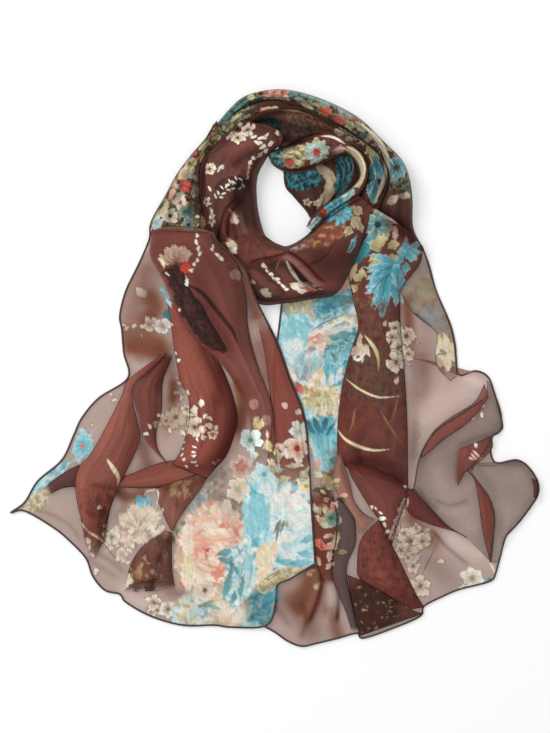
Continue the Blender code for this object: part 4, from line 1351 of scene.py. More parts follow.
def printLoop(p):
    # The outer strand behind the neck: a close print of teal, olive and coral flowers.
    p.on("backOuter")
    p.disc(398, 205, 40, 50, "slate", soft=10, strength=0.25)
    band = [214, 130, 226, 104, 250, 86, 280, 80, 310, 84, 350, 104, 386, 134, 406, 160, 414, 190, 400, 192,
        384, 186, 372, 158, 350, 138, 320, 122, 290, 112, 258, 112, 228, 126]
    p.wash(band, "moss dark olive wine lagoon", 66, 5, 3, 0.85)
    p.strew(band, 130, (5, 10), ["moss olive butter", "lagoon aqua sage", "olive sand", "dark moss",
        "smoke sage sand", "rust coral sand", "night lagoon", "wine brown"], 87)
    p.wash([219, 124, 226, 108, 244, 102, 262, 100, 258, 108, 240, 115, 228, 124], "lagoon aqua teal night",
        97, 5, 3, 0.75)
    p.dabs([(251, 99, -40, 8, 6)], "butter", "moss")
    p.wash([265, 92, 276, 87, 288, 91, 286, 98, 274, 100, 266, 98], "coral coral rust blush", 68, 5, 2, 0.95)
    for x, y, size in ((268, 102, 4.5), (285, 101, 4), (277, 102, 3.5)):
        p.blossom(x, y, size, "cream", "dark")
    p.wash([288, 88, 312, 90, 334, 100, 330, 108, 306, 100, 290, 97], "aqua sage lagoon smoke", 69, 6, 2)
    p.petals([(318, 103, 30, 12, 7)], "aqua sage cream")
    p.petals([(296, 104, 25, 18, 7)], "olive butter moss")
    p.petals([(318, 111, 20, 15, 10), (330, 119, 20, 18, 10)], "red coral rust")
    p.petals([(334, 106, 30, 14, 8), (342, 110, 60, 12, 9)], "smoke sage cream")
    p.petals([(346, 122, 60, 11, 8), (354, 127, 30, 12, 8)], "olive sand cream")
    for x, y, size in ((360, 124, 5.5), (372, 137, 5.5), (366, 143, 4)):
        p.blossom(x, y, size, "sand", "moss")
    p.flower(395, 170, 12, "deep aqua pale brown", 9, 8, 0.6, 1.3, 0.26)
    p.petals([(384, 206, 330, 16, 8), (396, 199, 350, 16, 8)], "sand cream moss")
    # The strand at the left, down to the left end.
    p.on("backLeft")
    side = [218, 120, 204, 134, 188, 146, 168, 172, 154, 200, 146, 238, 212, 234, 212, 190, 214, 152,
        228, 138]
    p.wash(side, "moss wine olive dark", 67, 5, 4, 0.8)
    p.strew(side, 60, (5, 10), ["moss olive butter", "olive sand", "dark wine", "sand cream", "rust coral",
        "smoke sage", "dark moss"], 88)
    p.petals([(210, 140, 130, 16, 5), (205, 150, 110, 14, 5)], "olive butter")
    for x, y, size, tones in ((195, 158, 5, "rust coral red wine"), (190, 165, 8, "olive butter sand moss"),
            (184, 175, 8, "coral butter cream sage"), (181, 204, 8, "blush cream cream rust"),
            (186, 213, 8, "teal sage sand moss"), (171, 217, 8, "sand cream cream dark"),
            (189, 226, 7, "lagoon sage pale night"), (156, 224, 8, "aqua pale white sage")):
        p.flower(x, y, size, tones, 6, x, 0.7, 1.5, 0.25)
    p.petals([(170, 202, 290, 14, 7), (176, 188, 230, 12, 7)], "coral peach blush")
    p.petals([(166, 206, 120, 14, 7), (162, 212, 150, 12, 6), (168, 200, 100, 12, 6)], "olive butter cream")
    p.petals([(193, 188, 60, 12, 8), (186, 180, 320, 12, 7), (184, 192, 120, 12, 8)], "smoke sand cream")
    p.wash([179, 186, 184, 181, 191, 184, 192, 191, 186, 194, 180, 192], "red red coral", 70, 4, 1.5, 0.95)
    p.petals([(192, 205, 100, 12, 6)], "moss teal")
    p.disc(200, 196, 10, 66, "wine", soft=4, strength=0.75)
    p.dabs([(198, 218, 80, 5, 3.4), (198, 226, 90, 3.4, 2.4)])
    # The two strands behind the front fold.
    p.on("backSecond")
    p.wash([210, 146, 222, 124, 246, 108, 258, 112, 240, 128, 222, 144], "moss olive dark sage", 71, 5)
    p.petals([(228, 126, 320, 16, 5)], "olive butter")
    p.petals([(244, 118, -30, 20, 6)], "wine brown")
    p.petals([(258, 115, -15, 16, 7), (266, 111, 5, 14, 6)], "coral cream white")
    p.on("backInner")
    # A dark blue painted shadow beside the top of the front fold.
    p.wash([256, 122, 268, 118, 280, 122, 282, 136, 268, 140, 258, 134], "night inkBlue night", 72, 6, 3,
        0.95)
    p.wash([280, 128, 300, 126, 314, 132, 304, 144, 288, 148, 280, 140], "night wine dark plum", 96, 8, 3,
        0.85)
    p.wash([284, 113, 300, 112, 322, 122, 328, 130, 310, 130, 288, 124], "wine rust moss dark", 73, 4, 2)
    p.stroke([282, 112, 300, 113, 320, 122], 1.8, "sand rust")
    p.wash([334, 126, 350, 132, 366, 144, 370, 152, 352, 146, 338, 138], "wine moss brown", 74, 4, 2, 0.7)
    for x, y, size in ((344, 132, 4.5), (352, 138, 4.5), (362, 144, 4), (347, 141, 3.5), (338, 134, 3.5)):
        p.blossom(x, y, size, "sand", "dark")
    p.petals([(366, 146, 60, 14, 9), (372, 152, 80, 12, 9)], "olive sand cream")
    p.petals([(374, 158, 85, 22, 12), (380, 164, 80, 20, 9), (376, 178, 110, 22, 11), (374, 186, 95, 20, 8)],
        "deep aqua pale", 1.2, 0.4)
    p.petals([(372, 166, 100, 16, 4)], "inkBlue lagoon")
    p.on("backInner backOuter")
    p.stroke([361, 127, 376, 141, 385, 158, 386, 174, 380, 190, 374, 204], 5, "cream sand", 0.95, blunt=True)
    p.stroke([364, 131, 377, 144, 384, 160, 384, 176, 378, 190], 1.2, "olive moss", 0.7)
    # The cloth inside the neck and the curl round it.
    p.on("innerWall")
    p.wash([284, 168, 300, 170, 318, 172, 320, 184, 306, 190, 290, 190, 284, 180],
        "lagoon inkBlue teal night", 75, 5, 3, 0.95)
    p.stroke([314, 165, 325, 172, 331, 182, 329, 193, 323, 202, 318, 209], 10.5, "sand", blunt=True)
    p.blossom(307, 203, 4.5, "beige", "dark")
    p.blossom(318, 204, 4, "cream", "wine")
    p.wash([334, 158, 350, 158, 353, 170, 348, 186, 338, 200, 334, 190, 337, 176],
        "lagoon inkBlue teal lagoon", 76, 5, 2, 0.95)
    for places in ([336, 162, 341, 174, 338, 190], [343, 158, 347, 170, 343, 184],
            [349, 158, 351, 168, 347, 178]):
        p.stroke(places, 2.4, "inkBlue night", 0.85)
        p.stroke(pairs(places) + (2.4, 0), 1.6, "aqua teal", 0.7)
    p.on("innerCurl")
    p.wash([268, 148, 286, 146, 290, 158, 284, 168, 272, 164], "lagoon teal inkBlue sage", 77, 5, 2, 0.95)
    p.wash([284, 150, 300, 145, 306, 150, 304, 166, 292, 170, 284, 164], "olive sand moss butter", 78, 5, 2,
        0.95)
    p.dabs([(289, 164, 10, 9, 7)], "red", "wine")
    p.wash([320, 140, 340, 142, 346, 152, 332, 158, 322, 150], "wine earth brown", 79, 5, 2, 0.8)
    p.petals([(330, 157, 330, 16, 8)], "earth blush")
    p.flower(316, 154, 13.5, "aqua sage cream rust", 13, 5, 0.36, 1.2, 0.3, rimWide=0.6)
    p.petals([(316, 154, turn, 9, 3.4) for turn in range(20, 380, 40)], "smoke aqua white")
    p.dabs([(316, 154, 90, 7.4, 6.6)], "red", "rust")
    p.dabs([(315, 140, 0, 6, 5)], "butter", "moss")
    p.stroke([319, 137, 332, 139, 344, 146], 2.8, "white cream", blunt=True)
    fold = [344, 150, 353, 154, 359, 163, 360, 174, 356, 184, 349, 192]
    p.stroke(fold, 9.5, "olive sand", 0.95, blunt=True)
    p.stroke(pairs(fold) + (0.6, -0.2), 6.5, "sand butter", 0.9, blunt=True)
    p.stroke([346, 149, 357, 155, 363, 166, 363, 178, 358, 190], 1.6, "white cream", blunt=True)
    p.wash([352, 184, 344, 190, 334, 200, 324, 210, 330, 216, 342, 208, 352, 196], "aqua sage pale aqua", 80,
        6, 2, 0.95)
    p.dabs([(323, 213, 20, 7, 4)], "red", "wine")
    p.wash([318, 216, 308, 226, 306, 232, 314, 232, 322, 222], "aqua lagoon pale", 82, 4, 2, 0.95)
    p.petals([(320, 216, 130, 16, 5)], "lagoon pale cream")
    # The front fold: pale sprays on brown.
    p.on("cowlLeft")
    # A lighter brown patch: painted light on the ridge of the fold.
    p.wash([230, 150, 248, 144, 256, 154, 246, 176, 234, 178, 226, 164], "earth brown earth", 83, 8, 5, 0.45)
    p.blossom(238, 140, 7.4, "cream", "dark", 20)
    p.blossom(248, 132, 6.6, "cream", "dark", 50)
    p.dabs([(231, 136, -30, 8, 5), (228, 139, 20, 5, 4), (254, 127, 60, 6, 4), (240, 127, -10, 7, 4)])
    p.dabs([(254, 139, -20, 8, 3.4), (262, 141, -10, 9, 3.6), (258, 145, 15, 8, 3), (267, 137, -40, 8, 2.8),
        (271, 146, -50, 6, 4), (278, 135, 80, 5, 5), (263, 149, -35, 9, 5), (267, 153, -45, 6, 4),
        (260, 157, -40, 6, 4), (254, 160, -55, 6, 4.4), (251, 165, -60, 5, 3.4)], "cream", "dark")
    p.dabs([(249, 170, -80, 4.6, 2.8), (248, 175, -70, 4, 2.6)], "beige")
    p.wash([214, 190, 224, 182, 238, 178, 247, 180, 244, 188, 230, 194, 220, 198], "dark wine night", 84, 4,
        2, 0.85)
    sprig = [(248, 179, 70), (241, 182, 40), (237, 181, 80), (234, 185, 20), (230, 184, 60), (227, 188, 120),
        (222, 190, 30), (219, 194, 60), (225, 196, 150), (229, 193, 20), (234, 190, 0), (240, 190, 160),
        (243, 187, 60), (216, 198, 70), (222, 199, 30)]
    p.dabs([(x, y, turn, 4.4 + turn % 3 * 0.5, 2.2) for x, y, turn in sprig], "cream", "night")
    for x, y, size, turn in ((210, 171, 7.2, 70), (206, 203, 5, 30), (211, 222, 6, 90)):
        p.blossom(x, y, size, "cream", "wine", turn)
    p.dabs([(221, 171, -40, 9, 3), (210, 191, 60, 6, 3.4), (212, 213, 80, 7, 4)])
    p.on("cowlLeft cowlFront")
    p.petals([(230, 211, 62, 17, 9), (226, 236, 62, 21, 11)], "beige cream wine", 1.5, 0.06, 0.95, 0.15)
    p.on("cowlFront")
    p.wash([252, 242, 266, 240, 286, 252, 276, 260, 258, 262], "earth earth brown", 85, 9, 5, 0.6)
    p.wash([248, 266, 262, 264, 276, 270, 284, 286, 282, 298, 262, 304, 252, 286], "wine dark wine", 86, 7, 3,
        0.7)
    p.stroke([247, 271, 258, 278, 270, 288, 281, 297], 8, "earth brown", 0.85, blunt=True)
    p.dabs([(252, 283, 20, 6, 4)], "sand")
    p.dabs([(266, 294, 40, 12, 8)], "sand", "dark")
    p.dabs([(264, 267, 30, 6, 3.4), (267, 271, 60, 4, 2.4), (271, 275, 30, 6, 2.6), (273, 279, 80, 4, 2.4),
        (277, 280, 30, 5, 2.6), (279, 284, 60, 5, 2.6), (283, 287, 30, 5, 3), (286, 290, 10, 5, 2.4)],
        "cream", "dark")
    p.dabs([(278, 266, 115, 10, 2.4)], "coral", "wine")
    p.stroke([286, 262, 291, 271, 298, 281, 303, 284], 3.6, "cream white")
    p.petals([(288, 284, 12, 34, 8), (289, 285, 28, 20, 7)], "cream white cream", 1.2)
    p.petals([(298, 287, 16, 20, 4.5)], "coral red")
    p.wash([290, 246, 300, 242, 311, 238, 313, 244, 303, 250, 292, 252], "smoke slate blush", 87, 6, 3, 0.6)
    p.wash([298, 242, 316, 227, 336, 222, 346, 232, 334, 243, 312, 250], "rust ochre earth rust", 95, 7, 4,
        0.7)
    p.on("cowlFront innerCurl")
    p.flower(338, 213, 15, "inkBlue blue aqua coral", 12, 12, 0.42, 1.2, 0.2, rimWide=0.5)
    p.petals([(338, 213, turn, 12, 2.6) for turn in range(0, 360, 33)], "lagoon sky")
    p.petals([(350, 208, 30, 14, 9), (352, 216, 70, 14, 9), (350, 226, 110, 13, 8), (356, 222, 60, 12, 8)],
        "olive sand cream")
    p.petals([(356, 236, 115, 20, 5)], "blue teal pale")
    p.on()


# Painted shadows and highlights of the larger creases on each sheet, and darker patches where
# the cloth bunches: a line, its half width and how much darker it is, with its tint and how much
# thicker the cloth looks there where that isn't the usual.
loopShades = {
    "cowlLeft": [
        ([214, 248, 220, 232, 225, 214, 234, 203, 244, 194], 2, 0.95),
        ([226, 250, 228, 234, 229, 222, 236, 208, 246, 198], 3.2, 0.95),
        ([250, 178, 253, 194, 254, 212, 257, 234], 3.5, 0.5),
        ([240, 168, 246, 184, 248, 206, 252, 232], 6, 0.3),
        ([207, 152, 204, 172, 203, 194, 205, 212, 211, 236], 1.4, 0.8),
        ([263, 150, 254, 172, 246, 196], 3, 0.6), ([231, 214, 236, 236, 242, 256], 2.2, 0.6),
        ([240, 214, 246, 236, 250, 256], 3, -0.25),
    ],
    "cowlFront": [
        ([248, 265, 258, 261, 268, 259, 280, 256, 288, 252], 1.9, 0.9),
        ([282, 250, 295, 257, 307, 267, 317, 278, 326, 284], 2, 0.92),
        ([282, 256, 294, 265, 304, 275, 316, 286, 328, 290], 3.2, -0.5),
        ([287, 262, 299, 275, 310, 286, 324, 294], 2.2, 0.95), ([310, 252, 330, 260, 350, 252], 13, 0.3),
        ([250, 296, 270, 304, 300, 302, 330, 298], 3.5, 0.7),
    ],
    "innerWall": [
        ([286, 168, 320, 164, 350, 168], 7, 0.5), ([350, 180, 330, 204, 314, 216], 6, 0.6),
        ([330, 172, 334, 186, 328, 200], 2.4, 0.5),
    ],
    "innerCurl": [
        ([270, 165, 290, 172, 316, 170], 3, 0.9), ([312, 228, 328, 212, 344, 196], 3, 0.3),
        ([270, 150, 286, 146, 304, 141], 4.5, 0.95),
    ],
    "backInner": [([260, 126, 282, 138, 300, 148, 322, 142], 8, 0.6)],
    "backOuter": [
        ([330, 124, 362, 142, 384, 166, 386, 194], 4, 0.45), ([376, 212, 400, 228, 420, 244], 14, 0.9),
        ([392, 190, 406, 206, 412, 226], 6, 0.3),
    ],
    "backLeft": [([206, 152, 204, 180, 207, 216], 6, 0.6), ([196, 170, 190, 196, 190, 222], 3, 0.3)],
}
endShades = {
    "shoulder": [
        ([206, 262, 220, 296, 232, 330, 244, 360], 4, -0.22),
        ([240, 268, 247, 300, 250, 340, 262, 376], 2.4, 0.4),
        ([236, 352, 252, 384, 264, 420, 268, 456], 11, -1, (1, 0.9, 0.9)),
        ([222, 362, 238, 388, 246, 410], 3.5, 0.5), ([168, 244, 186, 240, 204, 244], 6, -0.35),
        ([228, 262, 238, 290, 242, 320], 5, 0.25), ([194, 270, 204, 292, 214, 310], 5, 0.3),
        ([200, 300, 216, 326, 234, 352], 6, 0.35), ([246, 384, 256, 408, 262, 436], 2, 0.3),
    ],
    "bulge": [
        ([220, 356, 233, 386, 237, 412, 229, 444, 210, 474], 13, 0.9),
        ([182, 340, 194, 364, 203, 392, 206, 410], 7, -0.35), ([177, 352, 186, 380, 192, 404], 4, -0.3),
        ([192, 450, 204, 446, 212, 434], 6, -0.5, (1, 0.6, 0.5)),
        ([196, 342, 208, 360, 218, 382, 220, 410], 6, 0.5), ([212, 392, 215, 416, 209, 438], 4, 0.5),
        ([188, 400, 188, 424, 180, 448], 4, 0.3), ([176, 470, 190, 468, 206, 466], 5, 0.5),
    ],
    "longBand": [
        ([170, 354, 156, 368, 140, 384], 9, 0.75), ([138, 400, 138, 430, 126, 466, 116, 492], 7, 0.5),
        ([132, 400, 124, 430, 108, 462], 2, 0.35), ([150, 366, 128, 388, 112, 424, 94, 458], 7, -0.3),
        ([82, 470, 80, 492, 84, 520], 4, -0.3), ([90, 484, 104, 486, 118, 488], 3, 0.55),
        ([104, 496, 100, 520, 98, 544], 10, 0.5),
    ],
    "innerBand": [([170, 356, 164, 372, 158, 390], 8, 0.6), ([156, 400, 154, 424, 158, 446], 4, 0.35)],
    "crossBand": [([92, 487, 130, 488, 166, 486, 196, 478, 220, 462], 3, 0.6)],
    "tongue": [([160, 490, 190, 482, 210, 472], 5, 0.5), ([164, 500, 172, 512, 176, 522], 5, -0.3)],
    "cuff": [
        ([168, 534, 170, 560, 172, 590], 5, 0.45), ([126, 588, 148, 590, 172, 590], 4, 0.5),
        ([152, 546, 144, 562, 140, 578], 5, -0.3),
    ],
    "leftBase": [
        ([122, 338, 144, 342, 166, 346], 9, 0.28, (0.7, 1, 1), 0.9),
        ([126, 350, 146, 352, 164, 354], 9, 0.26, (0.7, 1, 1), 0.9),
        ([130, 362, 142, 360, 156, 358], 8, 0.22, (0.7, 1, 1), 0.8),
        ([250, 280, 254, 300, 260, 320], 8, 0.4, (0.6, 1, 1), 0.9),
        ([258, 340, 264, 362, 268, 384], 9, 0.42, (0.6, 1, 1), 0.9),
        ([146, 444, 144, 456, 150, 466], 8, 0.3, (0.7, 1, 1), 0.7),
        ([124, 588, 130, 598, 146, 604], 9, -0.25, (1, 1, 1), 0.8), ([158, 270, 150, 290, 148, 318], 13, 0.3),
        ([168, 356, 173, 384, 174, 404], 8, 0.55), ([128, 356, 138, 366, 150, 362], 5, -0.3),
        ([30, 508, 53, 515, 71, 526, 81, 542], 2.4, 0.3), ([84, 556, 100, 566, 118, 578], 3, 0.3),
        ([140, 440, 148, 462, 138, 474], 9, 0.4), ([120, 492, 124, 506, 116, 520], 6, 0.4),
        ([228, 458, 212, 486, 196, 508], 8, 0.25), ([96, 552, 112, 562, 124, 572], 3, 0.35),
        ([240, 404, 240, 430, 232, 456], 6, 0.3), ([146, 262, 136, 292, 130, 322], 12, 0.3, (0.5, 1, 1), 1),
        ([152, 298, 156, 308, 148, 322], 9, 0.3, (0.9, 1, 1), 2),
        ([238, 378, 243, 404, 238, 434], 6, 0.5, (0.9, 1, 1), 2.5),
        ([116, 490, 130, 496, 146, 492], 6, 0.4, (0.9, 1, 1), 1.8),
        ([216, 496, 230, 510, 236, 500], 7, 0.3, (0.9, 1, 1), 0.6),
        ([166, 590, 178, 594, 192, 592], 6, 0.35, (0.9, 1, 1), 0.8),
        ([249, 598, 249, 612, 256, 624], 6, 0.6, (1, 0.6, 0.55), 0.3),
        ([122, 329, 142, 334, 164, 340], 9, 0.2, (0.8, 0.9, 0.9), 1.5),
        ([126, 347, 146, 347, 164, 350], 7, 0.3, (0.5, 1, 1), 1.3),
        ([174, 378, 172, 402, 166, 432], 7, 0.24, (0.9, 0.9, 0.9), 1.5),
        ([246, 276, 251, 300, 256, 322], 6, 0.16, (0.8, 0.9, 0.9), 1.5),
    ],
    "sidePleat": [([262, 330, 270, 360, 276, 396], 4, 0.25), ([290, 390, 300, 420, 304, 450], 5, -0.25)],
    "rightBase": [
        ([420, 350, 424, 380, 422, 400], 8, 0.3, (0.8, 1, 1), 0.8), ([416, 420, 414, 440, 412, 460], 5, 0.25),
        ([412, 330, 413, 380, 413, 440, 411, 480], 5, 0.35),
        ([418, 424, 440, 404, 462, 390, 480, 380], 15, -0.3, (1, 1, 1), 0.4),
        ([426, 320, 428, 350, 426, 376], 10, 0.25), ([322, 566, 319, 594, 308, 624], 2.6, 0.85),
        ([333, 570, 338, 592, 337, 624], 2.4, 0.85), ([316, 570, 312, 596, 300, 622], 4, -0.3),
        ([328, 576, 330, 600, 326, 626], 3, -0.3), ([430, 527, 446, 546, 470, 566], 2, 0.5),
        ([448, 536, 466, 548, 484, 556], 9, -0.4), ([404, 548, 430, 562, 450, 580], 14, 0.35),
        ([280, 600, 300, 612, 318, 634], 12, 0.25), ([268, 592, 276, 608, 290, 626], 4, 0.35),
        ([462, 376, 474, 380, 484, 386], 4, -0.3), ([300, 600, 306, 620, 300, 640], 3, 0.3),
        ([286, 596, 300, 612, 310, 632], 12, 0.3, (0.7, 1, 1), 0.8),
        ([318, 560, 313, 580, 306, 602], 12, 0.5, (0.9, 1, 1), 2.2),
        ([334, 446, 330, 470, 324, 504], 6, 0.6, (0.8, 0.9, 1), 1.5),
        ([405, 294, 408, 318, 408, 345], 6, 0.4, (0.9, 1, 1), 2),
        ([408, 514, 420, 528, 434, 542], 8, 0.3, (0.9, 1, 1), 2),
        ([327, 606, 335, 626, 340, 642], 7, 0.35, (0.9, 1, 1), 1.5),
    ],
    "frontFold": [
        ([344, 461, 376, 461, 406, 482], 8, 0.65), ([404, 300, 404, 380, 408, 470], 4, 0.3),
        ([360, 330, 350, 370, 344, 420], 5, 0.35), ([376, 420, 386, 440, 396, 430], 9, -0.25),
        ([404, 262, 398, 290, 400, 330], 5, 0.35), ([352, 440, 360, 462, 380, 470], 5, 0.4),
        ([386, 222, 400, 231, 414, 242], 9, 0.8),
    ],
    "lowerFold triangle pinkStrip greyStrip redFloral": [
        ([344, 462, 376, 468, 406, 486], 7, 0.75), ([366, 486, 380, 500, 388, 524], 6, -0.25),
        ([362, 540, 372, 562, 384, 580], 8, -0.4), ([386, 530, 402, 560, 420, 600], 4, 0.45),
        ([338, 458, 350, 490, 366, 516], 3, 0.45), ([334, 500, 340, 530, 336, 560], 3, 0.35),
        ([398, 588, 410, 600, 420, 606], 6, 0.45), ([400, 496, 398, 514, 394, 536], 4, 0.4),
    ],
    "sBand": [
        ([418, 470, 424, 448, 440, 430, 470, 412, 486, 398], 6, 0.6),
        ([434, 499, 450, 505, 468, 500], 1.8, 0.9), ([436, 506, 452, 512, 470, 508], 5, -0.35),
        ([466, 480, 474, 500, 478, 530], 8, -0.5), ([436, 478, 448, 490, 462, 492], 9, -0.35),
        ([456, 448, 470, 440, 492, 434], 3, 0.5), ([450, 512, 464, 520, 474, 536], 7, -0.3),
        ([416, 486, 424, 498, 438, 510], 3, 0.7),
        ([434, 462, 446, 494, 472, 532], 13, -0.34, (0.9, 1, 1), 1.1),
        ([440, 432, 464, 426, 488, 412], 9, -0.2, (1, 1, 1), 1),
        ([500, 400, 502, 420, 492, 436], 6, 0.3, (1, 1, 1), 1),
        ([474, 462, 482, 488, 488, 520], 5, 0.3, (0.9, 1, 1), 1),
    ],
    "wedge": [([456, 452, 458, 470, 456, 484], 5, 0.45)],
    "lobe": [
        ([474, 466, 488, 482, 500, 510, 500, 540], 4, 0.45), ([476, 464, 500, 463, 526, 466], 3, 0.35),
        ([494, 500, 504, 520, 500, 548], 9, -0.3, (1, 1, 1), 1),
        ([500, 462, 524, 464, 537, 484], 7, 0.35, (1, 1, 1), 1),
        ([534, 494, 520, 518, 508, 534], 5, 0.3, (1, 1, 1), 1),
    ],
    "lobeFold": [([480, 486, 486, 510, 488, 545], 3, 0.35)],
}


def shadeAll(p, shades):
    for tags, lines in shades.items():
        p.on(tags)
        for places, wide, amount, *rest in lines:
            p.shade(places, wide, amount, *(rest or [(0.8, 1, 1) if amount > 0 else (1, 1, 1)]))
    p.on()


painter = Painter(list(cloths.values()))
printLoop(painter)
printRightEnd(painter)
printLeftEnd(painter)
# The painted shade of every sheet goes into its colours here, after the uneven dye.
painter.mottleAndShade(np.concatenate([c.gather("dim") for c in cloths.values()]))
shadeAll(painter, loopShades)
shadeAll(painter, endShades)
print("print painted on", len(painter.places), "points")


# A shader socket that takes part in sums, each of them a Math node, and one method for any
# other node.
class Wire:
    def __init__(self, tree, socket=None):
        self.tree, self.socket = tree, socket

    def node(self, kind, settings=(), values=(), output=0):
        made = self.tree.nodes.new(kind)
        for key, value in dict(settings).items():
            setattr(made, key, value)
        for key, value in dict(values).items():
            if isinstance(value, Wire):
                self.tree.links.new(value.socket, made.inputs[key])
            else:
                made.inputs[key].default_value = value
        return Wire(self.tree, made.outputs[output]) if made.outputs else made

    def sum(self, operation, *values, clamp=False):
        settings = {"operation": operation, "use_clamp": clamp}
        return self.node("ShaderNodeMath", settings, dict(enumerate(values)))

    def __add__(self, other):
        return self.sum("ADD", self, other)

    def __radd__(self, other):
        return self.sum("ADD", other, self)

    def __sub__(self, other):
        return self.sum("SUBTRACT", self, other)

    def __rsub__(self, other):
        return self.sum("SUBTRACT", other, self)

    def __mul__(self, other):
        return self.sum("MULTIPLY", self, other)

    def __rmul__(self, other):
        return self.sum("MULTIPLY", other, self)

    # Kept between 0 and 1.
    def held(self):
        return self.sum("MULTIPLY", self, 1.0, clamp=True)

    def noise(self, place, scale, detail, rough):
        return self.node("ShaderNodeTexNoise", {},
                         {"Vector": place, "Scale": scale, "Detail": detail, "Roughness": rough})

    # 0 below low, 1 above high, and smooth between them.
    def above(self, low, high):
        return self.node("ShaderNodeMapRange", {"interpolation_type": "SMOOTHSTEP"},
                         {"Value": self, "From Min": low, "From Max": high})


def newMaterial(name):
    made = bpy.data.materials.new(name)
    made.use_nodes = True
    made.node_tree.nodes.clear()
    return made, Wire(made.node_tree)


def chiffonMaterial():
    made, add = newMaterial("printedChiffon")
    ink = add.node("ShaderNodeAttribute", {"attribute_name": "ink"})
    cover, edge, layers = (add.node("ShaderNodeAttribute", {"attribute_name": name}, output=2)
                           for name in ("cover", "edge", "layers"))
    place = add.node("ShaderNodeTexCoord", output=3)
    look = chiffon
    cloudy = add.noise(place, look["cloudScale"], 4.0, 0.6)
    grain = add.noise(place, look["grainScale"], 2.0, 0.6)
    crepe = add.noise(place, look["crepeScale"], 1.0, 0.5)
    # Painted shade: a dark line on folded edges, partly cloth seen edge-on; softer shade 7 mm in.
    fold = 1 - edge.above(0.3, 1.1)
    nearFold = 1 - edge.above(0.0, 7.0)
    bright = look["light"] + look["cloudyLight"] * cloudy + look["grainLight"] * grain
    bright = bright - look["foldDark"] * fold - look["nearFoldShade"] * nearFold
    colour = add.node("ShaderNodeMix", {"data_type": "RGBA", "blend_type": "MULTIPLY"}, {0: 1.0, 6: ink}, 2)
    grey = add.node("ShaderNodeCombineColor", {}, {0: bright, 1: bright, 2: bright})
    add.tree.links.new(grey.socket, colour.socket.node.inputs[7])
    sure = cover.above(0.12, 0.88)
    uneven = look["unevenAlpha"] * (cloudy - 0.5) + look["unevenAlpha"] * (grain - 0.5)
    ground = (layers * look["alpha"] + uneven + 0.06 * nearFold).held()
    printed = (look["printAlpha"] - ground).held()
    alpha = (ground + printed * sure + look["foldAlpha"] * fold).held()
    height = crepe + 1.5 * grain
    bump = add.node("ShaderNodeBump", {}, {"Strength": 0.35, "Distance": 0.0004, "Height": height})
    shader = add.node(
        "ShaderNodeBsdfPrincipled", {},
        {"Base Color": colour, "Alpha": alpha, "Roughness": look["roughness"], "Normal": bump,
         "Specular IOR Level": 0.12, "Sheen Weight": look["sheen"], "Sheen Roughness": 0.4},
    )
    add.node("ShaderNodeOutputMaterial", {}, {"Surface": shader})
    return made


# The rolled hem's widths, lift and steps along it in mm, its sides, and its two thread colours.
hem = {
    "wide": 1.9, "loopWide": 1.2, "lift": 0.35, "step": 2.2, "sides": 6, "twistScale": 420.0,
    "dark": (0.012, 0.006, 0.005, 1), "light": (0.07, 0.03, 0.024, 1),
}


def hemMaterial():
    made, add = newMaterial("hemThread")
    place = add.node("ShaderNodeTexCoord", output=3)
    twist = add.noise(place, hem["twistScale"], 2.0, 0.5)
    colour = add.node("ShaderNodeMix", {"data_type": "RGBA"}, {0: twist, 6: hem["dark"], 7: hem["light"]}, 2)
    bump = add.node("ShaderNodeBump", {}, {"Strength": 0.6, "Distance": 0.0005, "Height": twist})
    shader = add.node("ShaderNodeBsdfPrincipled", {},
                      {"Base Color": colour, "Roughness": 0.55, "Normal": bump})
    add.node("ShaderNodeOutputMaterial", {}, {"Surface": shader})
    return made


# A rolled hem: a thin round roll of the cloth's own edge along each line of places.
def rolledHem(name, lines, wide, material):
    places, faces, sides = [], [], hem["sides"]
    for line in lines:
        line = smoothLine(line, max(4, int(lengthOf(line) / hem["step"])))
        way = np.gradient(line, axis=0)
        way /= np.maximum(np.linalg.norm(way, axis=1), 1e-9)[:, None]
        aside = np.stack([-way[:, 1], way[:, 0], np.zeros(len(way))], axis=1)
        aside /= np.maximum(np.linalg.norm(aside, axis=1), 1e-9)[:, None]
        upward = np.cross(way, aside)
        start = len(places)
        for middle, a, b in zip(line, aside, upward):
            for k in range(sides):
                turn = 2 * math.pi * k / sides
                places.append(middle + wide / 2 * (a * math.cos(turn) + b * math.sin(turn)))
        for i in range(len(line) - 1):
            for k in range(sides):
                low, high = start + i * sides, start + (i + 1) * sides
                faces.append((low + k, low + (k + 1) % sides, high + (k + 1) % sides, high + k))
    return newPiece(name, np.array(places), faces, material)


clothLook, hemLook = chiffonMaterial(), hemMaterial()
lift = np.array([0, 0, hem["lift"]])
hems = {
    "leftEnd": rolledHem("leftEndHem", [hemLines["leftEnd"] + lift], hem["wide"], hemLook),
    "rightEnd": rolledHem("rightEndHem", [hemLines["rightEnd"] + lift], hem["wide"], hemLook),
}
lines = []
for tag, side, start, end in rightEnd["hems"]:
    line = smoothLine(pairs(rightEnd[tag][side]), 60)[int(60 * start) : int(60 * end)]
    lines.append(np.column_stack([line, fieldAt(turnedPile, line) + 0.3]))
hems["rightPleats"] = rolledHem("rightTurnHem", lines, hem["loopWide"], hemLook)
for name, side in (("backOuter", 0), ("backLeft", 0), ("cowlFront", -1), ("innerCurl", -1)):
    line = hemLines[name][:, side][3:-3:4] + (0, 0, 0.5)
    hems[name] = rolledHem(name + "Hem", [line], hem["loopWide"], hemLook)

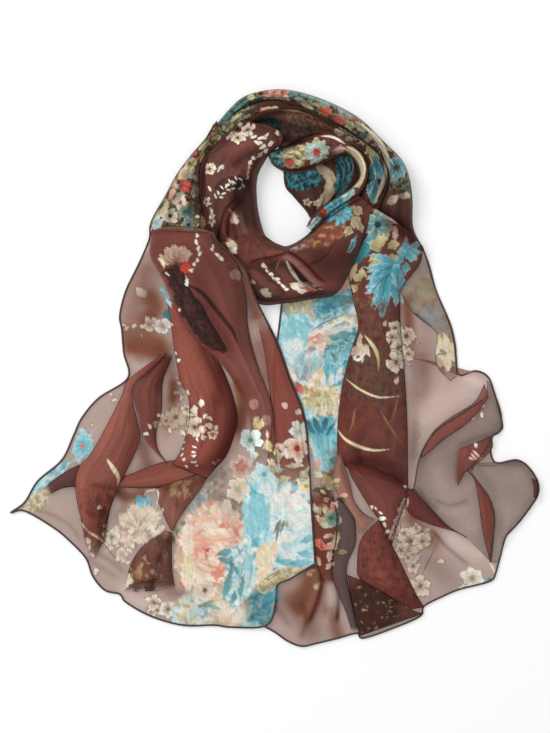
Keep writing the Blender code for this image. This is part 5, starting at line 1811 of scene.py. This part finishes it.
start = total = 0
for name, cloth in cloths.items():
    made = cloth.build(clothLook)
    count = len(made.data.vertices)
    ink = made.data.color_attributes.new("ink", "FLOAT_COLOR", "POINT")
    full = np.concatenate([painter.ink[start : start + count], np.ones((count, 1))], axis=1)
    ink.data.foreach_set("color", full.astype(np.float32).ravel())
    storeValues(made.data, "cover", painter.cover[start : start + count])
    storeValues(made.data, "layers", painter.layers[start : start + count])
    start += count
    given = strands.get(name) or (leftEnd if name.startswith("left") else rightEnd)
    flat = given["pleatsFlat" if name.endswith("Pleats") else "flat"]
    held = "gathered" if name in strands else "folded" if name.endswith("Pleats") else "draped"
    itsHem = [hems[name]] if name in hems else []
    area = sum(p.area for p in made.data.polygons)
    triangles = sum(len(p.vertices) - 2 for p in made.data.polygons)
    total += triangles
    print(name, "triangles", triangles, "area", round(area, 4), "share", round(area / flat[0] / flat[1], 2))
print("triangles in all", total)

paleFloor = {"half": 3, "z": -0.0004, "shade": (0.68, 0.68, 0.68, 1), "glow": 0.26}
floor = bpy.data.meshes.new("floor")
far, z = paleFloor["half"], paleFloor["z"]
floor.from_pydata([(-far, -far, z), (far, -far, z), (far, far, z), (-far, far, z)], [], [(0, 1, 2, 3)])
floorPiece = inScene("floor", floor)
floorLook, add = newMaterial("paleFloor")
shader = add.node(
    "ShaderNodeBsdfPrincipled", {},
    {"Base Color": paleFloor["shade"], "Roughness": 0.9, "Specular IOR Level": 0.1,
     "Emission Color": (1, 1, 1, 1), "Emission Strength": paleFloor["glow"]},
)
add.node("ShaderNodeOutputMaterial", {}, {"Surface": shader})
floor.materials.append(floorLook)

# The camera looks straight down: its place, the height that it sees, and its sensor in mm.
view = {"height": 2.2, "x": 0.001, "y": -0.0005, "tall": 0.733, "sensor": 36}
camera = bpy.data.cameras.new("camera")
camera.lens = view["sensor"] * view["height"] / view["tall"]
cameraPiece = inScene("camera", camera)
cameraPiece.location = (view["x"], view["y"], view["height"])
bpy.context.scene.camera = cameraPiece

studio = {"world": 0.84, "lamp": 16.0, "lampPlace": (-0.9, 0.9, 1.3), "lampSize": 0.9}
world = bpy.data.worlds.new("studio")
bpy.context.scene.world = world
world.use_nodes = True
world.node_tree.nodes["Background"].inputs[0].default_value = (1, 1, 1, 1)
world.node_tree.nodes["Background"].inputs[1].default_value = studio["world"]
lamp = bpy.data.lights.new("softLamp", "AREA")
lamp.shape = "DISK"
lamp.size = studio["lampSize"]
lamp.energy = studio["lamp"]
lampPiece = inScene("softLamp", lamp)
lampPiece.location = studio["lampPlace"]
lampPiece.rotation_euler = (-lampPiece.location).to_track_quat("-Z", "Y").to_euler()
bpy.context.scene.view_settings.view_transform = "Standard"
print("floor, camera and lamp placed")
